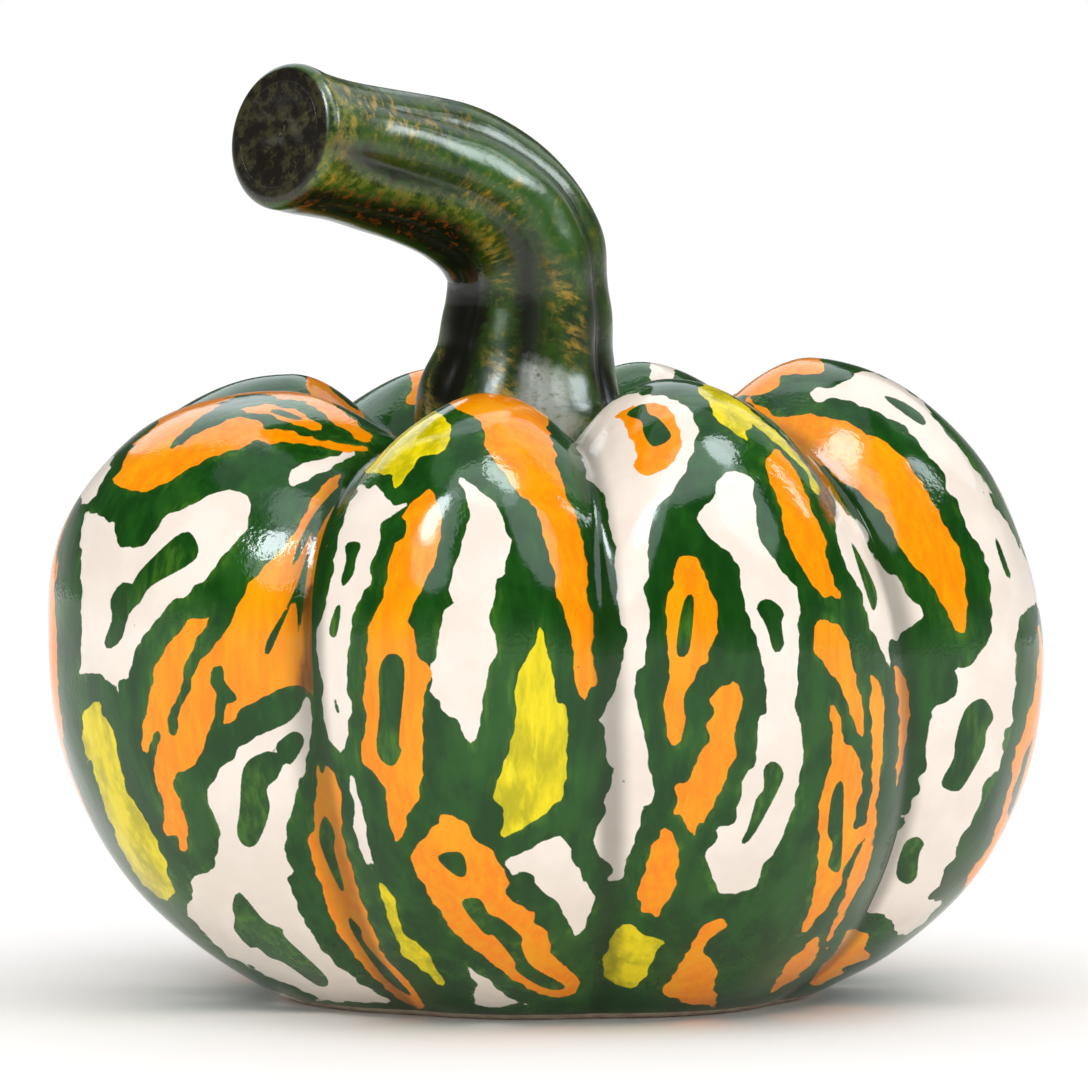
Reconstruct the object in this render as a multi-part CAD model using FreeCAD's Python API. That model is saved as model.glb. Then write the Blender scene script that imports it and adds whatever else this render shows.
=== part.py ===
"""Ceramic pumpkin figure: a hollow lobed body, its luted base disc, and a hooked, fluted stem.

Units are millimetres. +Z is up and the origin is the middle of the foot plane, on the body's axis.
Directions round the body are angles that start at the front (-Y) and grow towards +X.
"""
import FreeCAD, Part
import math
import os
from collections import namedtuple

# ---- Driving dimensions ---------------------------------------------------------------------
BODY_WALL = 5.5          # clay thickness of the body, measured square to its surface
FLOOR = 5.0              # clay thickness of the body's floor
CROWN_RADIUS = 24.0      # flat seat for the stem, in the hollow at the top of the body
CROWN_HEIGHT = 104.0
CROWN_X = -4.0           # the crown, and so the stem, stands a little off the body's axis
STEM_BORE = 8.0          # radius of the stem's hollow at its two ends
STEM_WALL = 6.0          # clay thickness between the ends
SPIGOT_RADIUS = 11.0     # locating ring under the stem, which drops into the crown hole
SPIGOT_LENGTH = 4.0
SLIP = 0.05              # radial room that the joining slip fills in a luted joint
BASE_OPENING = 30.0      # radius of the opening in the floor
BASE_LEDGE = 34.0        # radius of the rebate round the opening, which seats the base disc
BASE_RECESS = 1.0        # the disc sits this far above the foot plane
BASE_DISC_THICK = 2.5
VENT_RADIUS = 3.0
VENT_OFFSET = 12.0
COLLAR_RADIUS = 23.8     # bead of slip round the foot of the stem
COLLAR_HEIGHT = 3.2
COLLAR_EDGE = 0.6
CAP_RADIUS = 10.5        # disc that closes the cut end of the stem
CAP_THICK = 2.5
CAP_PLUG = 3.0           # length of the plug behind it, which fills the bore
CAP_RECESS = 0.3         # the disc sits this far inside the stem's lip

# ---- Body ------------------------------------------------------------------------------------
Lobe = namedtuple("Lobe", "radius waist top top_radius fullness foot_radius")
Crease = namedtuple("Crease", "foot waist crown")

# One row per lobe, from the front left lobe and on towards +X. Waist is the height of the widest
# point, top the height of the crest, and fullness how square the shoulder between them is.
LOBES = (
    Lobe(100.0, 73.0, 121.5, 56.0, 2.1, 53.0),
    Lobe(100.0, 72.0, 124.5, 56.0, 2.1, 54.0),
    Lobe(101.3, 68.0, 128.0, 56.0, 1.9, 53.0),
    Lobe(100.0, 70.0, 123.0, 56.0, 2.0, 53.0),
    Lobe(100.0, 72.0, 125.5, 56.0, 2.0, 53.0),
    Lobe(100.0, 71.0, 124.0, 56.0, 2.0, 53.0),
    Lobe(100.0, 72.0, 123.5, 56.0, 2.1, 53.0),
    Lobe(103.3, 76.0, 121.0, 58.0, 2.3, 53.0),
)
# Crease i runs up the left side of lobe i. Its direction drifts between the foot and the crown.
CREASES = (
    Crease(-28.0, -27.5, -33.0),
    Crease(11.0, 7.3, 7.5),
    Crease(60.0, 47.5, 43.0),
    Crease(97.0, 96.0, 96.0),
    Crease(138.0, 138.0, 138.0),
    Crease(180.0, 180.0, 180.0),
    Crease(225.0, 225.0, 225.0),
    Crease(268.0, 268.0, 268.0),
)
# How much a crease lies inside the mean of the two lobes beside it, field by field.
CREASE_DEPTH = Lobe(7.0, 0.0, 11.0, 4.0, 0.0, 2.0)
VALLEY_SOFTNESS = 0.05   # rounds the bottom of each crease
UNDERSIDE_POWER = 2.2    # fullness of the lower half
WAIST_AT = 0.45          # share of a meridian, foot to crown, at which the waist lies
CREST_AT = 0.72          # share at which the crest lies
ACROSS_POLES = 13        # poles across one lobe
ALONG_POLES = 34         # poles from foot to crown
PROBE = 0.002            # step used to measure surface directions
SKIN_DEGREE = 3

# ---- Stem ------------------------------------------------------------------------------------
Station = namedtuple("Station", "x y z radius")
Frame = namedtuple("Frame", "share centre radius tangent side across")

# The stem's centre line and radius, from its foot on the crown to its cut end.
STEM_LINE = (
    Station(-4.0, 0.0, 104.0, 21.6),
    Station(-4.0, 0.0, 111.0, 20.6),
    Station(-3.8, 0.0, 119.0, 19.4),
    Station(-3.3, 0.0, 128.5, 17.6),
    Station(-3.1, 0.0, 138.5, 16.5),
    Station(-4.2, -0.8, 147.5, 16.3),
    Station(-8.8, -3.0, 155.5, 16.1),
    Station(-16.0, -7.5, 161.4, 15.8),
    Station(-25.5, -13.5, 165.0, 15.0),
    Station(-34.8, -20.5, 167.2, 14.2),
    Station(-43.0, -28.0, 169.3, 14.2),
    Station(-50.0, -35.2, 171.0, 14.5),
)
FLUTES = 7
FLUTE_DEPTH = 0.11       # share of the radius
FLUTE_SOFTNESS = 0.03
FLUTE_START = -112.0     # direction of one ridge at the foot, from +X
FLUTE_TWIST = 20.0       # how far the ridges turn over the stem's length
FLUTE_FADE_IN = 8.0      # the flutes reach full depth after 1/8 of the length
FLUTE_FADE_OUT = 6.0     # and fade again over the last 1/6
HOLLOW_FADE = 6.0        # the hollow widens and narrows over 1/6 of the length
LIP_ROUND = 2.5          # radius of the rounded rim at the cut end
STEM_STEPS = 34
AROUND_POLES = 84
LIP_STEPS = 5


def mix(first, second, share):
    """Value that lies share of the way from first to second."""
    return first + (second - first) * share


def mix_lobes(first, second, share):
    return Lobe(*(mix(a, b, share) for a, b in zip(first, second)))


def through_three(values, places, at):
    """Quadratic through three values at three places."""
    total = 0.0
    for i, value in enumerate(values):
        others = [place for j, place in enumerate(places) if j != i]
        weight = math.prod((at - place) / (places[i] - place) for place in others)
        total += value * weight
    return total


# ---- Shape of the body -------------------------------------------------------------------------
def crest_share(across):
    """1 on a lobe's crest (across = 0) and 0 in the crease beside it (across = -1 or 1)."""
    soft = VALLEY_SOFTNESS
    inside = math.hypot(1.0 - abs(across), soft) - soft
    inside /= math.hypot(1.0, soft) - soft
    return 1.0 - (1.0 - inside) ** 2


def crease_lobe(index):
    """Meridian of crease index, in the same terms as a lobe."""
    mean = mix_lobes(LOBES[index - 1], LOBES[index % len(LOBES)], 0.5)
    return Lobe(*(value - depth for value, depth in zip(mean, CREASE_DEPTH)))


def crease_angle(index, along):
    turns, place = divmod(index, len(LOBES))
    return 360.0 * turns + through_three(CREASES[place], (0.0, WAIST_AT, 1.0), along)


def meridian(lobe, along):
    """Radius and height at a share of the way from the foot (0) to the crown (1)."""
    if along < WAIST_AT:
        power = UNDERSIDE_POWER
        depth = lobe.waist / (1.0 - (lobe.foot_radius / lobe.radius) ** power) ** (1.0 / power)
        foot_turn = math.asin((lobe.waist / depth) ** (power / 2.0))
        turn = foot_turn * (1.0 - along / WAIST_AT)
        radius = lobe.radius * math.cos(turn) ** (2.0 / power)
        height = lobe.waist - depth * math.sin(turn) ** (2.0 / power)
    elif along < CREST_AT:
        turn = math.pi / 2.0 * (along - WAIST_AT) / (CREST_AT - WAIST_AT)
        reach = lobe.radius - lobe.top_radius
        radius = lobe.top_radius + reach * math.cos(turn) ** (2.0 / lobe.fullness)
        height = mix(lobe.waist, lobe.top, math.sin(turn) ** (2.0 / lobe.fullness))
    else:
        share = (along - CREST_AT) / (1.0 - CREST_AT)
        radius = mix(lobe.top_radius, CROWN_RADIUS, share)
        height = mix(CROWN_HEIGHT, lobe.top, 0.5 * (1.0 + math.cos(math.pi * share)))
    return radius, height


def body_point(around, along):
    """Outer surface. around counts lobes from crease 0, along runs from foot to crown."""
    index = math.floor(around)
    share = around - index
    eased = share * share * (3.0 - 2.0 * share)
    place = index % len(LOBES)
    crease = mix_lobes(crease_lobe(place), crease_lobe(place + 1), eased)
    lobe = mix_lobes(crease, LOBES[place], crest_share(2.0 * share - 1.0))
    radius, height = meridian(lobe, along)
    angle = math.radians(mix(crease_angle(index, along), crease_angle(index + 1, along), share))
    climb = max(0.0, (along - CREST_AT) / (1.0 - CREST_AT))
    shift = CROWN_X * climb * climb * (3.0 - 2.0 * climb)
    return FreeCAD.Vector(radius * math.sin(angle) + shift, -radius * math.cos(angle), height)


def body_normal(around, along):
    """Outward direction, square to the outer surface."""
    low, high = max(0.0, along - PROBE), min(1.0, along + PROBE)
    across = body_point(around + PROBE, along) - body_point(around - PROBE, along)
    upward = body_point(around, high) - body_point(around, low)
    normal = across.cross(upward)
    return normal.normalize()


def cavity_point(around, along):
    """Inner surface, one wall inside the outer one, with a level floor and a level crown."""
    point = body_point(around, along) - body_normal(around, along) * BODY_WALL
    if along == 0.0:
        point.z = FLOOR
    if along == 1.0:
        point = body_point(around, along) - FreeCAD.Vector(0.0, 0.0, BODY_WALL)
    return point


# ---- Smooth skins ------------------------------------------------------------------------------
def clamped_knots(pole_count):
    """Knots and multiplicities of a clamped spline with evenly spaced spans."""
    spans = pole_count - SKIN_DEGREE
    knots = [float(i) for i in range(spans + 1)]
    repeats = [SKIN_DEGREE + 1] + [1] * (spans - 1) + [SKIN_DEGREE + 1]
    return knots, repeats


def skin(poles):
    """Spline surface over a grid of poles."""
    rows, row_repeats = clamped_knots(len(poles))
    columns, column_repeats = clamped_knots(len(poles[0]))
    surface = Part.BSplineSurface()
    surface.buildFromPolesMultsKnots(poles, row_repeats, column_repeats, rows, columns,
                                     False, False, SKIN_DEGREE, SKIN_DEGREE)
    return surface


def flat_face(curves):
    """Flat face inside a closed ring of curves, given in order."""
    return Part.Face(Part.Wire([curve.toShape() for curve in curves]))


def closed_solid(faces):
    shell = Part.makeShell(faces)
    shell.sewShape()
    solid = Part.makeSolid(shell)
    if solid.Volume < 0.0:
        solid.reverse()
    return solid


def lobed_solid(point_at):
    """Solid whose side is one spline patch per lobe, closed by level faces."""
    across = [0.5 - 0.5 * math.cos(math.pi * i / (ACROSS_POLES - 1)) for i in range(ACROSS_POLES)]
    along = [i / (ALONG_POLES - 1) for i in range(ALONG_POLES)]
    sides = []
    for index in range(len(LOBES)):
        sides.append(skin([[point_at(index + share, height) for height in along] for share in across]))
    ends = []
    for end in (2, 3):
        ends.append(flat_face([side.vIso(side.bounds()[end]) for side in sides]))
    return closed_solid([side.toShape() for side in sides] + ends)


# ---- Shape of the stem -------------------------------------------------------------------------
def smooth_between(before, start, end, after, share):
    """Catmull-Rom value between start and end."""
    return 0.5 * (2.0 * start + (end - before) * share
                  + (2.0 * before - 5.0 * start + 4.0 * end - after) * share ** 2
                  + (3.0 * start - before - 3.0 * end + after) * share ** 3)


def stem_station(place):
    """Centre and radius at a place counted in stations from the foot."""
    last = len(STEM_LINE) - 1
    index = min(int(place), last - 1)
    start, end = STEM_LINE[index], STEM_LINE[index + 1]
    before = STEM_LINE[index - 1] if index > 0 else [2.0 * a - b for a, b in zip(start, end)]
    after = STEM_LINE[index + 2] if index + 2 <= last else [2.0 * b - a for a, b in zip(start, end)]
    fields = zip(before, start, end, after)
    return Station(*(smooth_between(*field, place - index) for field in fields))


def stem_centre(place):
    station = stem_station(place)
    return FreeCAD.Vector(station.x, station.y, station.z)


def stem_frames():
    """Sections along the stem, each square to its centre line and turning as little as it can."""
    last = len(STEM_LINE) - 1
    side = FreeCAD.Vector(1.0, 0.0, 0.0)
    frames = []
    for i in range(STEM_STEPS + 1):
        place = last * i / STEM_STEPS
        ahead = stem_centre(min(last, place + PROBE))
        behind = stem_centre(max(0.0, place - PROBE))
        tangent = (ahead - behind).normalize()
        side = side - tangent * side.dot(tangent)
        side.normalize()
        frames.append(Frame(place / last, stem_centre(place), stem_station(place).radius,
                            tangent, FreeCAD.Vector(side), tangent.cross(side)))
    return frames


def flute(angle, share):
    """Radius factor: 1 on a ridge and less in a groove, fading out at the foot and the cut end."""
    depth = FLUTE_DEPTH * min(1.0, FLUTE_FADE_IN * share) * min(1.0, FLUTE_FADE_OUT * (1.0 - share))
    turn = angle - math.radians(FLUTE_START + FLUTE_TWIST * share)
    ridge = math.sqrt(math.cos(0.5 * FLUTES * turn) ** 2 + FLUTE_SOFTNESS)
    return 1.0 + depth * (ridge - 1.0)


def ring_points(frame, radius, push=0.0, fluted=False):
    """Closed ring of points square to the stem, moved by push along it."""
    ring = []
    for i in range(AROUND_POLES + 1):
        angle = 2.0 * math.pi * (i % AROUND_POLES) / AROUND_POLES
        reach = radius * (flute(angle, frame.share) if fluted else 1.0)
        outward = frame.side * math.cos(angle) + frame.across * math.sin(angle)
        ring.append(frame.centre + frame.tangent * push + outward * reach)
    return ring


def tube_solid(rings):
    """Solid through a run of closed rings, with flat ends."""
    side = skin(rings)
    ends = [flat_face([side.uIso(place)]) for place in side.bounds()[:2]]
    return closed_solid([side.toShape()] + ends)


def stem_outside():
    """Solid of the stem's outer surface, with its rounded lip."""
    frames = stem_frames()
    end = frames[-1]
    rings = [ring_points(frame, frame.radius, fluted=True) for frame in frames]
    for i in range(1, LIP_STEPS + 1):
        turn = 0.5 * math.pi * i / LIP_STEPS
        radius = end.radius - LIP_ROUND * (1.0 - math.cos(turn))
        rings.append(ring_points(end, radius, push=LIP_ROUND * math.sin(turn)))
    return tube_solid(rings)


def stem_hollow():
    """Hollow of the stem, from under its spigot to beyond its cut end."""
    frames = stem_frames()
    rings = [ring_points(frames[0], STEM_BORE, push=-2.0 * SPIGOT_LENGTH)]
    for frame in frames:
        bulge = min(1.0, HOLLOW_FADE * frame.share, HOLLOW_FADE * (1.0 - frame.share))
        rings.append(ring_points(frame, mix(STEM_BORE, frame.radius - STEM_WALL, bulge)))
    rings.append(ring_points(frames[-1], STEM_BORE, push=2.0 * LIP_ROUND))
    return tube_solid(rings)


# ---- Parts -------------------------------------------------------------------------------------
def upright(radius, low, high, x=0.0, y=0.0):
    """Upright cylinder between two heights."""
    return Part.makeCylinder(radius, high - low, FreeCAD.Vector(x, y, low))


def body_shell():
    """Lobed hollow body, open under the stem and in the floor."""
    solid = lobed_solid(body_point).cut(lobed_solid(cavity_point))
    solid = solid.cut(upright(BASE_OPENING, -1.0, FLOOR + 1.0))
    solid = solid.cut(upright(BASE_LEDGE, -1.0, BASE_RECESS + BASE_DISC_THICK))
    under_crown = CROWN_HEIGHT - 2.0 * BODY_WALL
    return solid.cut(upright(SPIGOT_RADIUS + SLIP, under_crown, CROWN_HEIGHT + 1.0, CROWN_X))


def base_disc():
    """Disc luted into the floor: a flange on the ledge, a plug in the opening, and a vent."""
    top = BASE_RECESS + BASE_DISC_THICK
    disc = upright(BASE_LEDGE - SLIP, BASE_RECESS, top)
    disc = disc.fuse(upright(BASE_OPENING - SLIP, top, FLOOR))
    return disc.cut(upright(VENT_RADIUS, 0.0, FLOOR + 1.0, 0.0, VENT_OFFSET))


def cut_end(radius, low, high):
    """Cylinder square to the stem's cut end, between two distances inside its lip."""
    end = stem_frames()[-1]
    start = end.centre + end.tangent * (LIP_ROUND - high)
    return Part.makeCylinder(radius, high - low, start, end.tangent)


def stem():
    """Hooked stem with a locating spigot below and a seat for the cap in its cut end."""
    solid = stem_outside().fuse(upright(SPIGOT_RADIUS, CROWN_HEIGHT - SPIGOT_LENGTH,
                                        CROWN_HEIGHT + 1.0, CROWN_X))
    return solid.cut(stem_hollow()).cut(cut_end(CAP_RADIUS + SLIP, -LIP_ROUND, CAP_RECESS + CAP_THICK))


def stem_end_cap():
    """Disc that closes the cut end, with a plug that fills the bore behind it."""
    seat = CAP_RECESS + CAP_THICK
    return cut_end(CAP_RADIUS, CAP_RECESS, seat).fuse(cut_end(STEM_BORE - SLIP, seat, seat + CAP_PLUG))


def stem_slip_collar():
    """Bead of slip that fills the corner between the stem's foot and the crown."""
    top = CROWN_HEIGHT + COLLAR_HEIGHT
    inner = SPIGOT_RADIUS + SLIP
    shoulder = STEM_LINE[0].radius
    toe = FreeCAD.Vector(COLLAR_RADIUS, 0.0, CROWN_HEIGHT + COLLAR_EDGE)
    crest = FreeCAD.Vector(shoulder, 0.0, top)
    hollow = FreeCAD.Vector(mix(shoulder, COLLAR_RADIUS, 0.3), 0.0, mix(CROWN_HEIGHT, top, 0.45))
    corners = [crest, FreeCAD.Vector(inner, 0.0, top), FreeCAD.Vector(inner, 0.0, CROWN_HEIGHT),
               FreeCAD.Vector(COLLAR_RADIUS, 0.0, CROWN_HEIGHT), toe]
    edges = [Part.LineSegment(a, b).toShape() for a, b in zip(corners, corners[1:])]
    edges.append(Part.Arc(toe, hollow, crest).toShape())
    ring = Part.Face(Part.Wire(edges)).revolve(FreeCAD.Vector(), FreeCAD.Vector(0.0, 0.0, 1.0), 360.0)
    ring.translate(FreeCAD.Vector(CROWN_X, 0.0, 0.0))
    return ring.cut(stem_outside())


NODES = {
    "body_shell": body_shell,
    "base_disc": base_disc,
    "stem": stem,
    "stem_end_cap": stem_end_cap,
    "stem_slip_collar": stem_slip_collar,
}

os.makedirs("parts", exist_ok=True)
for name, build in NODES.items():
    shape = build()
    shape.exportStep(f"parts/{name}.step")
    print(f"{name}: valid {shape.isValid()}, solids {len(shape.Solids)}, {shape.Volume / 1000.0:.1f} cm3")
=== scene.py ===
import math

import bpy
import numpy as np
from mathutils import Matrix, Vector


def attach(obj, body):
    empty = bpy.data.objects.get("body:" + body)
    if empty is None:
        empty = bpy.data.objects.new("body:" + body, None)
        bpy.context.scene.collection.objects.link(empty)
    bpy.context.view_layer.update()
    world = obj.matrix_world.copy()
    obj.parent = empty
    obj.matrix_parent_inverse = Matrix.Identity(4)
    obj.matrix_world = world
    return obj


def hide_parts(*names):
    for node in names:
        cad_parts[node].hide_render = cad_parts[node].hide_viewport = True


# The looks of a hollow ceramic pumpkin figure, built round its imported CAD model. Tables and shape
# laws are in millimetres, and Blender's objects are in metres. +Z is up and -Y is the front.
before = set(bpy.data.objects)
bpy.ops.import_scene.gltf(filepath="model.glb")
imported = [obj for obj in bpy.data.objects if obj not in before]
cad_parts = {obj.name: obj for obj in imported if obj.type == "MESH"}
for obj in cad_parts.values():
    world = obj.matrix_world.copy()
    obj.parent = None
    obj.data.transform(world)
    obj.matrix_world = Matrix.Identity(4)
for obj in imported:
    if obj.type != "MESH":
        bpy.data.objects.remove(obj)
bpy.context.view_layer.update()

MM = 0.001
TINY = 1e-9              # keeps a division away from zero
SEED = 11
WAVE_COUNT = 14          # slow waves that make a hand-finished surface uneven

# ---- The body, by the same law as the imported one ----
# One row per lobe: radius, waist height, crest height, crest radius, fullness, foot radius.
LOBE_NAMES = "ABDHGFEC"
LOBES = np.array((
    (100.0, 73.0, 121.5, 56.0, 2.1, 53.0),
    (100.0, 72.0, 124.5, 56.0, 2.1, 54.0),
    (101.3, 68.0, 128.0, 56.0, 1.9, 53.0),
    (100.0, 70.0, 123.0, 56.0, 2.0, 53.0),
    (100.0, 72.0, 125.5, 56.0, 2.0, 53.0),
    (100.0, 71.0, 124.0, 56.0, 2.0, 53.0),
    (100.0, 72.0, 123.5, 56.0, 2.1, 53.0),
    (103.3, 76.0, 121.0, 58.0, 2.3, 53.0),
))
# Directions of each crease at the foot, the waist and the crown, in degrees from the front.
CREASES = np.array((
    (-28.0, -27.5, -33.0),
    (11.0, 7.3, 7.5),
    (60.0, 47.5, 43.0),
    (97.0, 96.0, 96.0),
    (138.0, 138.0, 138.0),
    (180.0, 180.0, 180.0),
    (225.0, 225.0, 225.0),
    (268.0, 268.0, 268.0),
))
CREASE_DEPTH = np.array((7.0, 0.0, 11.0, 4.0, 0.0, 2.0))
CREASE_LOBES = 0.5 * (np.roll(LOBES, 1, axis=0) + LOBES) - CREASE_DEPTH
VALLEY_SOFTNESS = 0.05
UNDERSIDE_POWER = 2.2
WAIST_AT = 0.45          # shares of the way from foot to crown
CREST_AT = 0.72
CROWN_RADIUS = 24.0
CROWN_HEIGHT = 104.0
CROWN_X = -4.0
CROWN_HOLE = 11.05
BODY_WALL = 5.5
FLOOR = 5.0
BASE_OPENING = 30.0
BASE_LEDGE = 34.0
LEDGE_HEIGHT = 3.5
FOOT_ROUND = 1.4         # the fired foot's edge is rubbed down by about this much
FOOT_STEPS = (0.0, 0.3, 0.6)       # shares of the way round that edge, one mesh row each
LOBE_COLUMNS = 104       # mesh columns across one lobe
COLUMN_CROWDING = 0.6    # how strongly they crowd towards the creases
SIDE_ROWS = 236          # mesh rows from foot to crown
FIRST_ROW = 0.014        # share of the way up at which they start
CAVITY_ROWS = 36
BODY_WAVES = (0.07, 18.0, 60.0)    # height, and shortest and longest wave
BODY_FADE = 0.05         # share of the way over which they fade in and out

# ---- The stem ----
# Centre line and radius, from the foot on the crown to the cut end: x, y, z, radius. The glazed
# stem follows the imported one, but is up to 1.6 mm fuller at its foot and has broader ridges.
STEM_LINE = np.array((
    (-4.0, 0.0, 104.0, 21.6),
    (-4.5, 0.0, 111.0, 21.9),
    (-4.9, 0.0, 119.0, 21.0),
    (-3.9, 0.0, 128.5, 18.2),
    (-3.3, 0.0, 138.5, 16.6),
    (-4.2, -0.8, 147.5, 16.3),
    (-8.8, -3.0, 155.5, 16.1),
    (-16.0, -7.5, 161.4, 15.8),
    (-25.5, -13.5, 165.0, 15.0),
    (-34.8, -20.5, 167.2, 14.2),
    (-43.0, -28.0, 169.3, 14.2),
    (-50.0, -35.2, 171.0, 14.5),
))
FLUTES = 7
FLUTE_DEPTH = 0.11
FLUTE_SOFTNESS = 0.05    # the glaze fills the flutes a little
FLUTE_START = -112.0
FLUTE_TWIST = 20.0
FLUTE_FADE_IN = 8.0      # the flutes start over one part in this many of the stem's length
FLUTE_FADE_OUT = 6.0
LIP_ROUND = 2.5
LIP_STEPS = 10
CAP_SEAT = 10.55         # radius of the seat in the cut end
CAP_DEPTH = 2.8
CAP_GAP = 0.02           # between the cap and its seat
BEVEL = 0.04
STEM_BORE = 8.0
STEM_WALL = 6.0
HOLLOW_FADE = 6.0        # the bore widens over one part in this many, from either end
BORE_STEP = 8            # stem rows between two rings of the bore
BORE_GROOVE = 0.3        # how deep in a flute the glaze takes the bore to be
STEM_ROWS = 190
STEM_COLUMNS = 224
STEM_WAVES = (0.08, 9.0, 30.0)
STEM_FADE = 0.04
SKIN_RADIUS = 16.0       # of the glaze's own coordinates round the stem
SKIN_STEP = 0.4          # and their step from ring to ring beyond the cut end
FACE_FROM = 6            # rings of the lip that keep the skin's glaze
FACE_COLUMNS = 72
FACE_RINGS = 26
FACE_HUB = 0.15          # radius of the disc's innermost ring
FACE_DISH = 0.5
FACE_WAVES = (0.06, 3.0, 9.0)
# Bead of slip round the stem's foot: radius and height above the crown, and size, number and
# phase of the waves in it.
COLLAR_PROFILE = ((20.75, 3.2), (21.45, 3.0), (21.95, 2.1), (22.55, 1.3),
                  (23.55, 0.5), (23.55, 0.0), (20.75, 0.0))
COLLAR_WAVES = ((0.25, 5.0, 0.7), (0.18, 9.0, 2.0))
COLLAR_COLUMNS = 180

# ---- Glaze ----
CLEAR_GLAZE_IOR = 1.42
GLAZE_IOR = 1.52
DAB_PITCH = 3.4          # of the scallops that a round brush leaves on a patch's border
RIPPLE_PITCH = 0.9
CLAY_LINE = 1.1          # height up to which the foot is wiped bare
CREASE_SHADE = 0.55      # how dark the painted shade in the creases is
CREASE_START = 0.8       # how far down from a crest to a crease the painted shade starts

# ---- Studio ----
WORLD_LIGHT = 0.92       # strength of the white surroundings as light
WORLD_REFLECTION = 0.06  # and as the glaze reflects them, overhead and at the horizon
HORIZON_REFLECTION = 0.5
HAZE_TOP = 0.25          # sine of the elevation where the haze ends
SUN = (15.0, 55.0, 0.75, 60.0)     # azimuth, elevation, strength, spread
PANEL_DISTANCE = 1.2     # metres
PANEL_COLOUR = (0.86, 0.95, 1.0)
# Soft boxes: name, azimuth and elevation in degrees, width and height in metres, radiance.
PANELS = (
    ("ceiling_glow", 0.0, 89.0, 1.30, 1.30, 0.7),
    ("top_window", 5.0, 70.0, 0.95, 0.62, 2.8),
    ("left_window", -33.0, 40.0, 0.42, 1.00, 3.3),
    ("left_glare", -38.0, 47.0, 0.20, 0.46, 26.0),
    ("right_window", 46.0, 44.0, 0.66, 0.92, 3.2),
    ("top_glare", 60.0, 73.0, 0.40, 0.42, 13.0),
    ("right_glare", 98.0, 40.0, 0.10, 0.36, 10.0),
    ("right_wall", 138.0, 40.0, 0.80, 1.00, 1.0),
    ("left_wall", -165.0, 45.0, 1.00, 1.20, 1.6),
)
STEM_WINDOW = ("stem_window", 80.0, 31.0, 0.42, 0.36, 14.0)    # lights the stem only
FLOOR_RADII = (20.0, 300.0, 2000.0, 30000.0)
FLOOR_COLUMNS = 96
SENSOR = 36.0
FRAME_WIDTH = 1088.0
CAMERA_SCALE = 4.995     # width of a millimetre on the sheet, in parts of the frame's width

# ---- The painted pattern ----
# Patches are drawn on an upright sheet through the body's axis, as the painted figure is seen from
# straight in front and a little above, and each is carried back to the lobes that it lies on.
# x grows to the right and z upwards, in millimetres. Outlines are smooth closed curves. The first
# of a patch's lobes is the one that it mostly lies on.
SHEET_DISTANCE = 1500.0
SHEET_TILT = math.radians(2.5)
SHEET_CENTRE = np.array((0.0, 0.0, 90.0))
FAR = 8.0                # distances to a border are kept within this
CREASE_MARGIN = 3.0      # how far repeated patches keep clear of a crease
CURVE_STEPS = 6          # steps of an outline's curve from one point to the next
# One of these layers is painted shadow: orange darkened in the deepest creases.
LAYERS = ("cream", "orange", "yellow", "painted_shadow", "green")   # in the order they are painted
SWAPPED = {"orange": "cream", "cream": "orange", "yellow": "orange", "green": "green", "painted_shadow": "painted_shadow"}
# The back lobes carry the front lobes' repertoire: whose patches each one takes, whether they are
# mirrored, whether their colours are swapped, and how far the painter's hand strays from them.
REPEATS = {
    "H": ("B", True, True, 3.5),
    "G": ("A", True, False, 3.0),
    "F": ("B", False, False, 4.0),
    "E": ("A", False, True, 3.5),
}
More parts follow.
